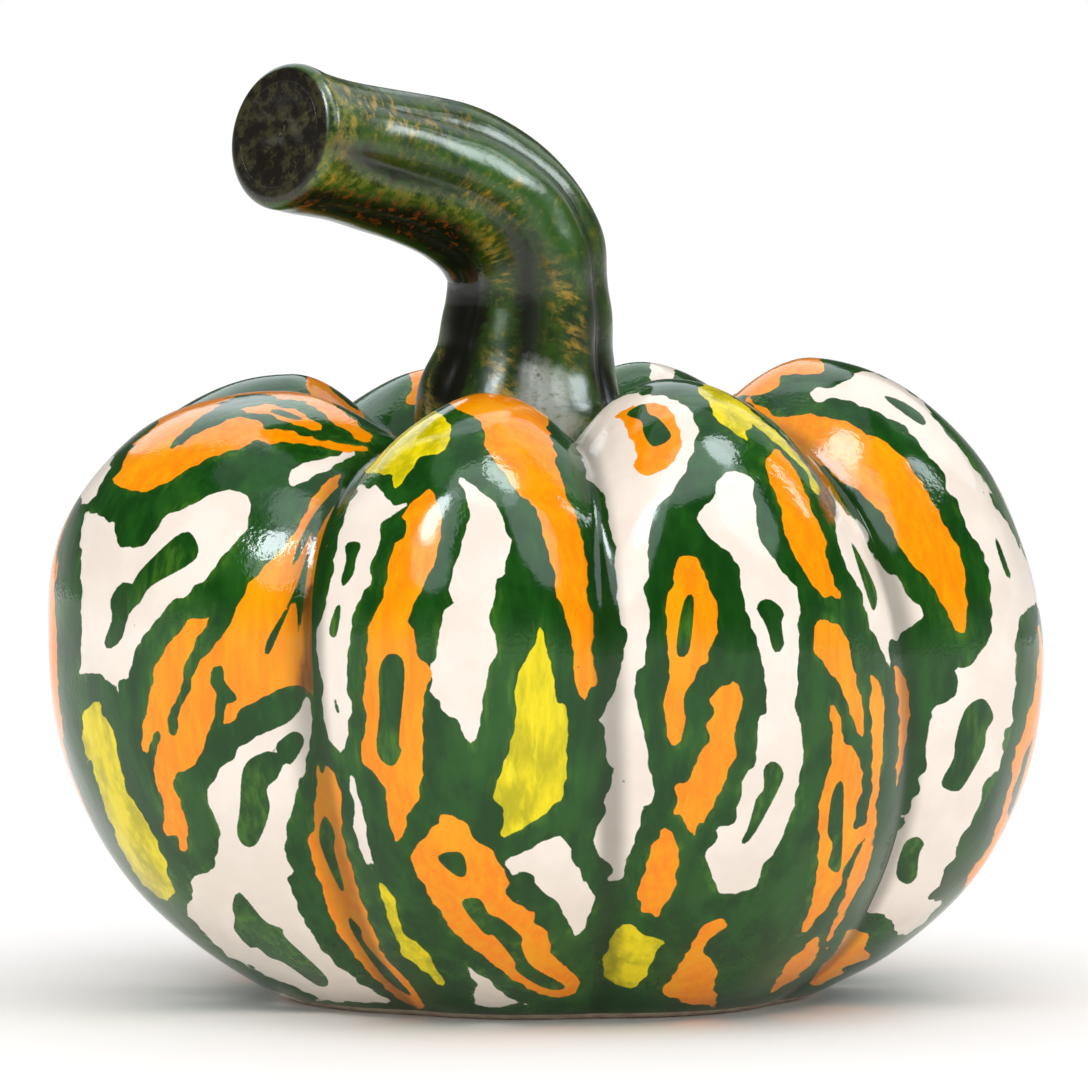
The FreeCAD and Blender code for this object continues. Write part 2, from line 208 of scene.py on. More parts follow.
# Lobes that a group of patches lies on, colour, outlines.
PATCHES = (
    ("C", "orange", [
        [(-86.5, 103), (-84.5, 105), (-82.5, 109.5), (-78, 113.5), (-72, 119), (-60.5, 121.5),
         (-60, 120.5), (-67, 117), (-75, 109.5), (-63, 115), (-57.5, 114.5), (-55, 113), (-51, 113),
         (-46.5, 111.5), (-36, 109.5), (-38, 108.5), (-48.5, 110.5), (-54, 110), (-58, 111), (-60, 109.5),
         (-68, 107), (-78, 101), (-83, 101)],
        [(-61.5, 117), (-55, 118), (-48, 116), (-44.5, 113), (-51, 114), (-54, 115.5)],
        [(-45, 119.5), (-40, 116.5), (-35.5, 111.5), (-39, 113), (-42, 116), (-46, 118.5)],
        [(-98, 88), (-98, 77), (-96, 50), (-93, 40), (-90, 33), (-92, 31), (-97, 40), (-103, 60),
         (-104, 75), (-101, 87)],
        [(-66, 76.5), (-68, 75), (-71, 74.5), (-77.5, 66.5), (-78.5, 62), (-80, 54.5), (-80, 47),
         (-78, 52), (-77, 51.5), (-78, 45.5), (-77.5, 41.5), (-76, 37), (-76.5, 33.5), (-75.5, 31.5),
         (-73.5, 31.5), (-73, 28.5), (-71.5, 29.5), (-71.5, 33.5), (-74, 42), (-72.5, 44.5), (-70, 46),
         (-67, 52), (-65.5, 58.5), (-66.5, 64), (-65, 65.5), (-64, 64.5), (-63, 61.5), (-61, 59.5),
         (-61.5, 58), (-63, 58), (-64, 54), (-62, 55), (-60, 57.5), (-50, 62), (-44.5, 60), (-45, 74),
         (-46, 79), (-43, 91), (-41.5, 100.5), (-40.5, 103.5), (-42, 103.5), (-45, 101), (-49.5, 93),
         (-54, 87), (-55.5, 86.5), (-57, 83.5), (-59.5, 81.5), (-63, 73.5), (-69.5, 65), (-71.5, 59),
         (-73, 57), (-73.5, 52.5), (-75, 52.5), (-75, 56.5), (-73, 59.5), (-71.5, 66.5)],
        [(-60, 121.5), (-52, 121.5), (-43.5, 118.5), (-36, 113), (-34.5, 110.5), (-37, 111),
         (-43.5, 115.5), (-48, 118.3), (-54, 119.6)],
    ]),
    ("C", "green", [
        [(-55, 116.5), (-53, 117), (-48, 115), (-50.5, 115)],
        [(-73.5, 91.5), (-70.5, 92), (-69.5, 87), (-78.5, 81.5), (-80.5, 78.5), (-83, 76), (-84.5, 71),
         (-87, 69), (-88, 70.5), (-86.5, 75), (-87, 78.5), (-85.5, 81.5), (-84, 82.5), (-82.5, 82),
         (-80.5, 85)],
        [(-41, 101.5), (-41.5, 98.5), (-44.5, 93.5), (-47, 86.5), (-49, 72), (-49.5, 77), (-50.5, 78),
         (-55, 68), (-55.5, 70.5), (-50, 80.5), (-46, 93), (-50, 85.5), (-49.5, 89), (-46, 96)],
        [(-53.5, 48), (-53.5, 50), (-50, 52.5), (-48, 50.5), (-50.5, 46), (-52, 46), (-53.5, 43),
         (-55.5, 41), (-55, 36.5), (-57.5, 30), (-60, 29.5), (-61.5, 32), (-61, 36.5), (-60, 45.5),
         (-55.5, 48.5)],
        [(-62.5, 17.5), (-61, 20), (-56, 14.5), (-52.5, 13), (-51.5, 11), (-43.5, 3.5), (-45, 1.5),
         (-52, 6), (-55, 7), (-57.5, 9), (-59, 9), (-62, 12.5), (-62, 15)],
    ]),
    ("C", "cream", [
        [(-91.5, 96.5), (-87.5, 94.5), (-86, 94.5), (-85, 90), (-80.5, 89.5), (-76, 95), (-71, 97.5),
         (-64, 101), (-59.5, 99.5), (-59.5, 93.5), (-65.5, 86), (-67.5, 83), (-69.5, 82), (-71.5, 79.5),
         (-74, 78.5), (-81, 70), (-83.5, 63), (-85, 62.5), (-85.5, 60), (-88.5, 64), (-93, 64),
         (-92.5, 66.5), (-92.5, 85), (-93, 91)],
        [(-50.8, 105), (-49, 105.7), (-44.5, 107.2), (-38, 109), (-38, 108), (-41, 106.3), (-44.5, 104.2),
         (-49.5, 102), (-50.6, 102)],
        [(-47.5, 59), (-46.5, 54.5), (-48, 43.5), (-49, 42.5), (-52, 30), (-50.5, 24.5), (-51, 22),
         (-44.5, 9), (-33, 0), (-30, -1.5), (-44, -1.5), (-47, 0), (-57, 4), (-64.5, 8.5), (-69.5, 14),
         (-71.5, 16.5), (-70.5, 19.5), (-70.5, 23), (-67.5, 24), (-66, 26), (-65, 33), (-67.5, 39.5),
         (-64.5, 45), (-62, 47), (-60, 50), (-51, 54.5)],
        [(-56, 1), (-46.5, -2.5), (-49.5, -2.5), (-56, 0)],
        [(-92.5, 98.5), (-90, 99.5), (-87.5, 104), (-85.5, 110), (-84, 114.5), (-88, 113), (-93, 105)],
    ]),
    # painted shadow: orange darkened in the crease between the left lobe and the front one
    ("C", "painted_shadow", [
        [(-48.5, 79.5), (-45.5, 81), (-45, 66), (-44, 60), (-49, 62), (-48, 70)],
    ]),
    ("C", "yellow", [
        [(-92.5, 55), (-91.5, 46.5), (-90.5, 45.5), (-86.5, 33), (-82, 24), (-76.5, 19), (-74, 20.5),
         (-75.5, 24), (-76.5, 28), (-80.5, 35.5), (-84.5, 42.5), (-86.5, 53), (-88.5, 56), (-89.5, 58.5)],
    ]),
    ("CA", "orange", [
        [(-45.5, 45.5), (-44.5, 44), (-43.5, 45.5), (-41, 41), (-40, 29.5), (-32.5, 9), (-27, 2.5),
         (-24, -3), (-28, -1.5), (-33.5, 3), (-39.5, 10), (-43, 16.5), (-47, 30), (-46, 33.5)],
    ]),
    ("CA", "green", [
        [(-44, 35.5), (-42, 32), (-42, 28.5), (-40, 21), (-41.5, 22), (-45, 30.5)],
        [(-39, 15.5), (-36.5, 13), (-35.5, 10), (-26.5, 0), (-32, 3.5), (-38, 12)],
    ]),
    ("AC", "cream", [
        [(-37, 101.5), (-35, 101), (-33.5, 101.5), (-30, 98), (-27, 98), (-32.5, 94), (-33, 89.5),
         (-35, 85), (-34.5, 82), (-36.5, 79), (-38, 75), (-39.5, 62.5), (-38.5, 58), (-39.5, 52),
         (-41, 48), (-44, 54.5), (-44.5, 63), (-45.5, 71.5), (-43.5, 78.5), (-40.5, 93)],
    ]),
    ("A", "green", [
        [(-39.5, 90), (-36.5, 90), (-37.5, 87), (-38, 84), (-40, 81.5), (-40.5, 83), (-39.5, 86.5)],
        [(-41.5, 77.5), (-40.5, 77), (-41.5, 71.5), (-43, 72.5)],
        [(-42, 59.5), (-41, 56.5), (-41.5, 56), (-42, 58)],
        [(-31, 68), (-28, 65.5), (-29, 51), (-28.5, 48.5), (-30.5, 45.5), (-33.5, 48.5), (-33, 56.5),
         (-33, 64.5)],
        [(-16.5, 28), (-15.5, 24), (-17.5, 23.5), (-21, 26.5), (-20.5, 28)],
        [(-16.5, 18), (-13, 19), (-11, 16), (-8.5, 15), (-4.5, 11.5), (-4.5, 9.5), (-2.5, 5.5), (4, 1.5),
         (2.5, 0.5), (-1, 1.5), (-5.5, 4.5), (-6, 6.5), (-10, 11.5), (-12, 12)],
    ]),
    ("A", "orange", [
        [(-23, 101), (-20.5, 95.5), (-22, 86), (-24.5, 81.5), (-27, 75), (-26, 72), (-25, 67),
         (-23.5, 66.5), (-22.5, 63), (-24, 58.5), (-24.5, 42), (-25.5, 38), (-27, 36), (-27.5, 33.5),
         (-30, 30.5), (-32, 41), (-36.5, 47.5), (-35.5, 55), (-36, 58.5), (-35, 72), (-33, 77), (-30, 89),
         (-28, 91), (-27.5, 94.5), (-28, 96)],
        [(-20, 119), (-19.5, 122), (-10, 122), (-5.5, 120), (0.5, 113.5), (2.5, 108.5), (2.5, 105.5),
         (7.5, 92.5), (9, 85), (9, 78.5), (10, 74), (9.5, 68), (10.5, 62.5), (9, 61.5), (8.5, 58.5),
         (6.5, 61.5), (5.5, 72), (2.5, 80.5), (2, 85), (-1, 95), (-3, 98.5), (-5, 100), (-11, 108.5),
         (-13, 114.5)],
        [(-21, 35.5), (-19.5, 36), (-16, 34.5), (-13.5, 30.5), (-11, 29), (-7, 23), (-7.5, 20), (-3.5, 17),
         (-2, 16.5), (-2, 14.5), (0, 13), (2.5, 6.5), (6.5, 3.5), (6.5, 0.5), (2.5, -1), (-5, 2), (-13, 8),
         (-18.5, 12.5), (-26, 25), (-25.5, 29), (-22.5, 33), (-21, 34)],
    ]),
    ("A", "cream", [
        [(-17, 102.5), (-16, 103), (-10, 98), (-7.5, 92.5), (-6.5, 90.5), (-8, 86), (-8, 84), (-9.5, 83),
         (-9.5, 80.5), (-11, 75.5), (-9.5, 68.5), (-11.5, 63.5), (-14, 50), (-17.5, 54.5), (-20.5, 56.5),
         (-21, 58.5), (-23, 60.5), (-22.5, 63), (-23, 66), (-21.5, 67.5), (-20.5, 75.5), (-18, 78.5),
         (-19, 81.5), (-15, 95.5)],
        [(-39, 42), (-38, 42.5), (-34.5, 26.5), (-35, 26.5), (-35.5, 26), (-38, 32), (-38, 36.5)],
        [(-8, 26.5), (-3, 29), (1.5, 31.5), (4.5, 30.5), (6, 26), (7, 24.5), (7.5, 22), (8.5, 22),
         (10, 18), (6.5, 11.5), (3.5, 17.5), (-1.5, 22), (-2, 23.5), (-4.5, 24.5), (-6.5, 23.5), (-7, 25)],
        [(-15, 5), (-6, -1.5), (-3.5, -2), (-13, -2.5), (-14, 0), (-13.5, 1.5)],
    ]),
    ("A", "yellow", [
        [(-37, 108.5), (-36.5, 111), (-31, 114.5), (-23, 117), (-18.5, 113), (-20.5, 108.5), (-25, 107),
         (-29.5, 101.5), (-31, 104), (-35.5, 104.5)],
        [(-1, 74), (1.5, 66), (2.5, 58.5), (4.5, 56.5), (4.5, 44.5), (3.5, 42), (3.5, 39), (-3, 34),
         (-8.5, 31.5), (-8, 36.5), (-10, 40), (-6.5, 50.5), (-5.5, 55.5), (-5.5, 62.5), (-1.5, 70.5)],
        [(-33, 20.5), (-32, 21.5), (-30, 19), (-28.5, 13), (-24, 8.5), (-20, 1.5), (-27.5, 7.5), (-29, 10)],
    ]),
    ("BA", "cream", [
        [(6.5, 112), (13, 118), (19.5, 120), (27.5, 118.5), (30.5, 113.5), (30.5, 111), (28.5, 105),
         (25, 100), (22, 97), (21, 91), (21, 83.5), (20, 81), (21, 74.5), (20, 66), (18.5, 64.5),
         (18.5, 58.5), (22, 40), (19.5, 37.5), (19, 33), (16.5, 26.5), (16, 23.5), (13, 23), (14, 25),
         (10, 29.5), (12, 36.5), (12, 39), (14, 44.5), (12.5, 46.5), (12, 53), (10.5, 55), (12, 56.5),
         (14.5, 61.5), (16.5, 72), (15, 75.5), (14, 89.5), (12, 99.5), (8.5, 103.5), (8.5, 105.5)],
    ]),
    ("B", "orange", [
        [(14.5, 115.5), (19, 118), (25, 117), (27.5, 109.5), (24, 105), (19.5, 104), (18, 106),
         (18.5, 108.5), (16, 114)],
        [(28, 87.5), (31.5, 86), (35, 74.5), (33, 69), (33, 66.5), (31, 65), (28, 59), (28, 52.5),
         (25.5, 49.5), (24, 59.5), (25, 63.5), (24.5, 78), (26, 82), (26, 85)],
        [(38, 63.5), (39.5, 58.5), (38, 53), (38, 47), (32.5, 35), (31, 34), (30, 31.5), (27.5, 35.5),
         (26, 36), (26.5, 39), (26.5, 42), (28.5, 42.5), (30, 45), (29.5, 46), (30.5, 46.5), (31, 48.5),
         (33, 50.5), (32.5, 53.5), (34, 56.5), (33, 59), (34.5, 61), (37, 62)],
        [(24, 33.5), (26.5, 30.5), (27, 26), (26, 24), (26, 21.5), (23, 16), (21.5, 16.5), (19.5, 16.5),
         (19.5, 18.5), (19, 20.5), (21.5, 29.5), (23, 31.5)],
        [(24, 0), (24.5, 2), (26.5, 4.5), (31, 12.5), (35.5, 15), (37, 13.5), (36, 13), (32, 9.5),
         (34.5, 4.5), (34, 2), (34.5, -2), (33, -2.5), (27.5, -1.5)],
        [(54.5, 11.5), (53.5, 6), (46, 0), (48, 5)],
    ]),
    ("B", "green", [
        [(16.5, 116), (20, 118), (21, 116), (23, 115), (25.5, 111.5), (22, 109.5), (20, 112), (19.5, 114.5)],
        [(28, 78.5), (30, 79), (29, 68.5), (26.5, 68.5)],
        [(42.5, 77.5), (45, 79), (48, 76.5), (47.5, 74), (48, 69.5), (46, 68.5), (44.5, 73.5)],
        [(44, 45), (46, 46.5), (48, 44), (46, 39), (41.5, 31), (39.5, 30), (41, 33.5), (42.5, 39), (44, 41)],
    ]),
    ("BD", "cream", [
        [(31, 96.5), (34.5, 100), (34.5, 102.5), (37.5, 104.5), (41.5, 102.5), (42.5, 93.5), (44.5, 88.5),
         (49.5, 82.5), (51, 78), (50.5, 57.5), (51.5, 53), (51.5, 44.5), (49, 34), (46.5, 29), (43, 23.5),
         (42, 21), (36, 20), (34.5, 22), (32.5, 27.5), (34.5, 30.5), (34.5, 33), (38, 34.5), (40.5, 44.5),
         (42.5, 46), (43, 55), (44.5, 56.5), (44, 65), (40.5, 76.5), (38.5, 86), (32, 93)],
    ]),
    ("BA", "yellow", [
        [(14, 12.5), (17, 14), (19, 12.5), (24, 10.5), (22.5, 9), (19, 1.5), (13, 2.5), (12, 6.5),
         (13, 8.5)],
    ]),
    ("BD", "yellow", [
        [(31, 120.5), (32, 122), (37, 120.5), (46.5, 112), (54, 103), (55, 99.5), (54, 100.5), (51.5, 105),
         (42.5, 113), (41.5, 113), (40, 112.5), (40.5, 110.5), (34.5, 115), (33.5, 117.5)],
    ]),
    ("BD", "orange", [
        [(44.5, 107), (47, 108.5), (50.5, 103.5), (56, 91), (56.5, 86.5), (60, 78.5), (57.5, 80), (55, 80),
         (48.5, 90.5), (47.5, 96), (45, 103.5)],
        [(55, 75), (54, 70), (55, 67), (58.5, 63), (60, 60), (63.5, 51.5), (63.5, 59.5), (60.5, 72),
         (57.5, 74.5)],
        [(57.5, 58), (59.5, 54.5), (60, 50.5), (62, 49), (64, 43), (62, 34), (64, 34), (65.5, 41),
         (65.5, 58.5), (66, 63.5), (68, 58), (67, 42), (65, 26.5), (59, 14.5), (57, 10), (56.5, 10.5),
         (61, 23), (64.5, 31.5), (60.5, 26), (58.5, 21), (55, 15.5), (51.5, 12.5), (54.5, 21.5),
         (55.5, 39), (56.5, 42), (58, 52.5), (57, 55)],
    ]),
    ("BD", "green", [
        [(60, 41.5), (59.5, 25.5), (57, 25.5), (58, 29.5), (57, 32.5), (58, 40.5)],
    ]),
    ("D", "orange", [
        [(38, 121), (50, 127.5), (55, 127.5), (55.5, 124.5), (49, 124)],
        [(40.5, 119), (47.5, 115.5), (55.5, 115.5), (70.5, 108.5), (81, 93), (84, 85.5), (84.5, 73.5),
         (82, 73.5), (78, 81.5), (72, 88), (68, 95.5), (64, 99.5), (63, 101), (60, 102), (56, 105.5),
         (53, 106.5)],
        [(99, 69), (101, 68), (103, 60), (101, 52), (98, 51.5), (95.5, 44.5), (90, 27), (86, 21),
         (83.5, 20), (85.5, 25), (88.5, 29), (93.5, 41), (94, 46.5), (97.5, 57.5)],
    ]),
    ("D", "cream", [
        [(53, 120), (55, 121), (58, 121), (63, 124), (67, 124), (75, 119), (77.5, 115.5), (88.5, 102),
         (90, 98), (95.5, 89.5), (99, 78), (97.5, 77.5), (94.5, 73), (94, 55), (92.5, 53), (91.5, 46),
         (89, 43.5), (87.5, 41), (86.5, 36.5), (82.5, 30), (82, 27), (80, 25), (79.5, 22.5), (77, 19),
         (79.5, 18), (74, 12.5), (71, 12), (68, 16), (63, 17), (64.5, 21), (68, 29.5), (72, 34),
         (71, 35.5), (73, 36.5), (73.5, 39), (75, 40.5), (75, 43.5), (76.5, 45.5), (77, 52.5), (78, 55.5),
         (78, 57), (82, 59.5), (83, 62), (82.5, 65), (85, 65.5), (88.5, 69.5), (89.5, 74.5), (89, 83.5),
         (87, 90), (85, 92.5), (82.5, 99), (80.5, 101), (79.5, 104.5), (73, 112), (71.5, 114), (59, 119),
         (55, 118.5)],
    ]),
    ("D", "green", [
        [(68, 119), (71, 118.5), (75.5, 115.5), (75.5, 113.5)],
        [(90.5, 91.5), (93.5, 83.5), (92.5, 83.5), (90.5, 89.5)],
        [(88, 59), (90, 55.5), (88.5, 52.5), (88, 49), (84.5, 42.5), (82.5, 40.5), (79.5, 42), (82, 47),
         (82.5, 51), (84.5, 57)],
        [(72, 30), (74.5, 31.5), (76, 30), (75, 28), (74.5, 23.5), (72.5, 22), (70.5, 24)],
    ]),
    # painted shadow at the top of the crease between the two right lobes
    ("DB", "painted_shadow", [
        [(48.5, 110.5), (56, 103), (58.5, 97), (57.5, 94), (55, 99), (54.5, 103)],
    ]),
    ("DB", "cream", [
        [(57, 101.5), (58, 99), (64, 93), (65, 89.5), (69, 84), (70.5, 83.5), (73.5, 79), (75.5, 77.5),
         (76, 75.5), (74, 74.5), (71, 71), (69, 70), (69.5, 63.5), (69, 66), (65.5, 74), (63, 81.5),
         (60.5, 85), (58, 94.5), (58.5, 96)],
        [(72.5, 9), (71.5, 7.5), (64.5, 3), (63.5, 3), (65, 5), (70.5, 8.5)],
    ]),
    ("DB", "green", [
        [(61.5, 90.5), (66.5, 81.5), (66.5, 77), (65.5, 78)],
    ]),
    ("DB", "orange", [
        [(70, 65.5), (72, 63.5), (73, 56.5), (70, 40), (71, 50.5), (70.5, 61.5)],
        [(60.5, 13), (64.5, 12), (64, 9.5), (65, 7.5), (60.5, 5.5), (59, 3.5), (53.5, 2), (59.5, 10.5)],
    ]),
    ("E", "orange", [
        [(-47, 124), (-44, 122.5), (-42, 120), (-39.5, 118), (-36.5, 116), (-36, 113.5), (-41, 115.5),
         (-44.5, 117.5), (-47.5, 121)],
    ]),
    ("F", "orange", [
        [(-27.5, 127), (-22.5, 127), (-23, 122), (-24.5, 118), (-27.5, 118.5), (-26.5, 122)],
    ]),
    ("G", "cream", [
        [(21.5, 127), (26, 127), (25.5, 123), (22, 121.5)],
    ]),
)
# Strokes are painted where the sheet doesn't reach, over the crests and on the far flanks: lobe,
# colour, points. A point is share across the lobe, share from foot to crown, and half width.
STROKES = (
    ("A", "orange", [(0.72, 0.66, 5), (0.70, 0.74, 5.5), (0.64, 0.83, 4), (0.60, 0.92, 2.5)]),
    ("A", "cream", [(0.22, 0.76, 3), (0.30, 0.86, 2.5), (0.34, 0.94, 1.2)]),
    ("B", "yellow", [(0.52, 0.76, 3.5), (0.48, 0.85, 3), (0.46, 0.93, 1.2)]),
    ("B", "orange", [(0.80, 0.75, 2.5), (0.72, 0.86, 2.2), (0.66, 0.94, 1)]),
    ("C", "orange", [(0.45, 0.70, 3), (0.60, 0.78, 3.5), (0.66, 0.88, 2.5)]),
    ("C", "cream", [(0.24, 0.76, 3), (0.36, 0.86, 2.5), (0.42, 0.93, 1)]),
    ("D", "orange", [(0.20, 0.73, 3.5), (0.32, 0.83, 3), (0.40, 0.92, 1.5)]),
    ("D", "cream", [(0.70, 0.74, 3.5), (0.64, 0.84, 3), (0.58, 0.93, 1.2)]),
    # the left lobe's far flank
    ("C", "cream", [(0.30, 0.66, 2.5), (0.24, 0.60, 4.5), (0.20, 0.53, 3)]),
    ("C", "orange", [(0.27, 0.52, 4), (0.23, 0.42, 5.5), (0.22, 0.31, 5), (0.25, 0.20, 2.5)]),
    ("C", "green", [(0.22, 0.46, 1.2), (0.20, 0.38, 1.8), (0.21, 0.32, 1.2)]),
    ("C", "yellow", [(0.10, 0.62, 2), (0.07, 0.50, 3), (0.08, 0.38, 2)]),
    ("C", "cream", [(0.10, 0.26, 2.5), (0.14, 0.16, 4), (0.20, 0.07, 3)]),
    # the right lobe's far flank
    ("D", "cream", [(0.66, 0.56, 3), (0.65, 0.49, 4.5), (0.68, 0.43, 2)]),
    ("D", "orange", [(0.56, 0.47, 1), (0.59, 0.42, 3.5), (0.60, 0.36, 5), (0.60, 0.27, 3)]),
    ("D", "orange", [(0.76, 0.45, 1), (0.76, 0.36, 4.5), (0.75, 0.26, 4.5), (0.71, 0.16, 2)]),
    ("D", "yellow", [(0.80, 0.66, 3), (0.84, 0.56, 4.5), (0.86, 0.46, 2.5)]),
    ("D", "cream", [(0.92, 0.44, 2), (0.91, 0.33, 4), (0.89, 0.22, 4.5), (0.86, 0.12, 2)]),
    ("D", "green", [(0.905, 0.34, 0.8), (0.90, 0.28, 1.5), (0.89, 0.23, 1)]),
    ("D", "orange", [(0.72, 0.70, 3), (0.76, 0.62, 2)]),
    # crown sides of the back lobes
    ("G", "yellow", [(0.70, 0.75, 3), (0.66, 0.85, 2.5)]),
    ("H", "orange", [(0.50, 0.71, 4.5), (0.52, 0.80, 4), (0.52, 0.89, 2)]),
    ("H", "cream", [(0.22, 0.75, 3), (0.30, 0.86, 2)]),
)
# Stains of the stem's glaze, the last a painted reflection: colour, points. A point is a direction
# round the stem in degrees, a share of the way from foot to cut end, and half width in millimetres.
STAINS = (
    ("soot", [(297, 1.0, 1.2), (290, 0.9, 1.5), (286, 0.8, 1.2), (281, 0.74, 0.5)]),
    ("soot", [(242, 0.99, 3.5), (244, 0.87, 4.5), (242, 0.74, 5), (238, 0.64, 5)]),
    ("soot", [(225, 0.56, 5), (219, 0.46, 6), (222, 0.34, 6), (224, 0.2, 5)]),
    ("soot", [(278, 0.58, 1), (275, 0.48, 2), (272, 0.36, 2.5), (274, 0.24, 2.5)]),
    ("soot", [(330, 0.45, 1), (327, 0.36, 2.5), (330, 0.26, 3.5), (334, 0.18, 3)]),
    ("soot", [(30, 0.9, 1.5), (24, 0.7, 2.5), (20, 0.5, 3), (25, 0.3, 4)]),
    ("soot", [(82, 0.95, 2), (76, 0.75, 2), (70, 0.55, 3), (78, 0.25, 3.5)]),
    ("soot", [(135, 0.85, 2), (130, 0.6, 3.5), (126, 0.35, 4), (130, 0.15, 3)]),
    ("vivid", [(318, 0.74, 3), (312, 0.64, 4), (305, 0.5, 4), (309, 0.4, 2)]),
    ("vivid", [(100, 0.8, 4), (104, 0.5, 5), (110, 0.3, 3)]),
    ("olive", [(278, 0.99, 2), (270, 0.88, 3), (268, 0.76, 3.5), (262, 0.66, 2.5), (256, 0.56, 1)]),
    ("olive", [(180, 0.8, 4), (176, 0.5, 4), (180, 0.3, 3)]),
    ("olive", [(258, 0.995, 3), (280, 0.995, 4), (305, 0.995, 4), (330, 0.995, 3.5), (355, 0.99, 2)]),
    ("ochre", [(252, 0.99, 1.5), (275, 0.99, 2.5), (300, 0.99, 2), (325, 0.99, 2.5), (348, 0.985, 2)]),
    ("ochre", [(342, 0.95, 4), (336, 0.86, 5), (330, 0.78, 3)]),
    ("ochre", [(290, 0.7, 1.5), (296, 0.63, 3), (290, 0.58, 2)]),
    ("ochre", [(268, 0.66, 1.5), (262, 0.6, 2), (257, 0.5, 2), (256, 0.4, 1)]),
    ("ochre", [(292, 0.44, 1.5), (301, 0.36, 3), (306, 0.28, 2.5)]),
    ("ochre", [(206, 0.24, 2.5), (210, 0.16, 3)]),
    ("ochre", [(256, 0.26, 2.5), (260, 0.2, 3), (262, 0.12, 3)]),
    ("ochre", [(50, 0.8, 4), (48, 0.5, 3.5), (55, 0.3, 4)]),
    ("ochre", [(155, 0.7, 4), (152, 0.45, 3.5)]),
    ("ember", [(247, 0.97, 4), (246, 0.8, 4.5), (243, 0.68, 4)]),
    # a painted reflection: a pale glint low on the stem's front
    ("painted_glint", [(278, 0.24, 2), (285, 0.19, 5), (288, 0.12, 5)]),
)


def mix(first, second, share):
    return first + (second - first) * share


def smooth(share):
    share = np.clip(share, 0.0, 1.0)
    return share * share * (3.0 - 2.0 * share)


def unit(vectors):
    return vectors / np.maximum(np.linalg.norm(vectors, axis=-1, keepdims=True), TINY)


def spline(before, start, end, after, share):
    """Point of a smooth curve through four points, between the middle two."""
    return 0.5 * (2.0 * start + (end - before) * share
                  + (2.0 * before - 5.0 * start + 4.0 * end - after) * share ** 2
                  + (3.0 * start - before - 3.0 * end + after) * share ** 3)


def ring_angles(count):
    return 2.0 * math.pi * np.arange(count) / count


# ---- Shape laws ----
def crest_share(across):
    """1 on a lobe's crest and 0 in the crease beside it."""
    soft = VALLEY_SOFTNESS
    inside = (np.hypot(1.0 - np.abs(across), soft) - soft) / (math.hypot(1.0, soft) - soft)
    return 1.0 - (1.0 - inside) ** 2


def crease_angle(index, along):
    """Direction of a crease, in degrees, through its three given directions."""
    foot, waist, crown = np.moveaxis(CREASES[index % len(LOBES)], -1, 0)
    turns = 360.0 * (index // len(LOBES))
    at_foot = (along - WAIST_AT) * (along - 1.0) / WAIST_AT
    at_waist = along * (along - 1.0) / (WAIST_AT * (WAIST_AT - 1.0))
    at_crown = along * (along - WAIST_AT) / (1.0 - WAIST_AT)
    return turns + foot * at_foot + waist * at_waist + crown * at_crown


def meridian(lobe, along):
    """Radius and height at a share of the way from foot to crown."""
    radius, waist, top, top_radius, fullness, foot_radius = np.moveaxis(lobe, -1, 0)
    power = UNDERSIDE_POWER
    depth = waist / (1.0 - (foot_radius / radius) ** power) ** (1.0 / power)
    foot_turn = np.arcsin((waist / depth) ** (power / 2.0))
    low_turn = foot_turn * np.clip(1.0 - along / WAIST_AT, 0.0, 1.0)
    high_turn = 0.5 * math.pi * np.clip((along - WAIST_AT) / (CREST_AT - WAIST_AT), 0.0, 1.0)
    inward = np.clip((along - CREST_AT) / (1.0 - CREST_AT), 0.0, 1.0)
    low = (radius * np.cos(low_turn) ** (2.0 / power),
           waist - depth * np.sin(low_turn) ** (2.0 / power))
    high = (top_radius + (radius - top_radius) * np.abs(np.cos(high_turn)) ** (2.0 / fullness),
            mix(waist, top, np.sin(high_turn) ** (2.0 / fullness)))
    crown = (mix(top_radius, CROWN_RADIUS, inward),
             mix(CROWN_HEIGHT, top, 0.5 * (1.0 + np.cos(math.pi * inward))))
    return tuple(np.where(along < WAIST_AT, a, np.where(along < CREST_AT, b, c))
                 for a, b, c in zip(low, high, crown))


def body_points(around, along):
    """Points of the body's outside. around counts lobes, along runs from foot to crown."""
    index = np.floor(around).astype(int)
    share = around - index
    place = index % len(LOBES)
    eased = smooth(share)[..., None]
    crease = mix(CREASE_LOBES[place], CREASE_LOBES[(place + 1) % len(LOBES)], eased)
    lobe = mix(crease, LOBES[place], crest_share(2.0 * share - 1.0)[..., None])
    radius, height = meridian(lobe, along)
    angle = np.radians(mix(crease_angle(index, along), crease_angle(index + 1, along), share))
    shift = CROWN_X * smooth((along - CREST_AT) / (1.0 - CREST_AT))
    return np.stack((radius * np.sin(angle) + shift, -radius * np.cos(angle), height), axis=-1)


def body_normals(around, along):
    step = 0.002
    low, high = np.maximum(along - step, 0.0), np.minimum(along + step, 1.0)
    across = body_points(around + step, along) - body_points(around - step, along)
    return unit(np.cross(across, body_points(around, high) - body_points(around, low)))


def uneven(points, normals, waves, random):
    """Points moved along their normals by slow waves of a height and a range of lengths."""
    height, shortest, longest = waves
    moved = np.zeros(points.shape[:-1])
    for _ in range(WAVE_COUNT):
        heading = unit(random.normal(size=3))
        length = random.uniform(shortest, longest)
        phase = random.uniform(0.0, 2.0 * math.pi)
        moved += np.sin(points @ heading * 2.0 * math.pi / length + phase)
    return points + normals * (height * moved)[..., None]


# ---- Meshes ----
def add_object(name, data):
    made = bpy.data.objects.new(name, data)
    bpy.context.scene.collection.objects.link(made)
    return made


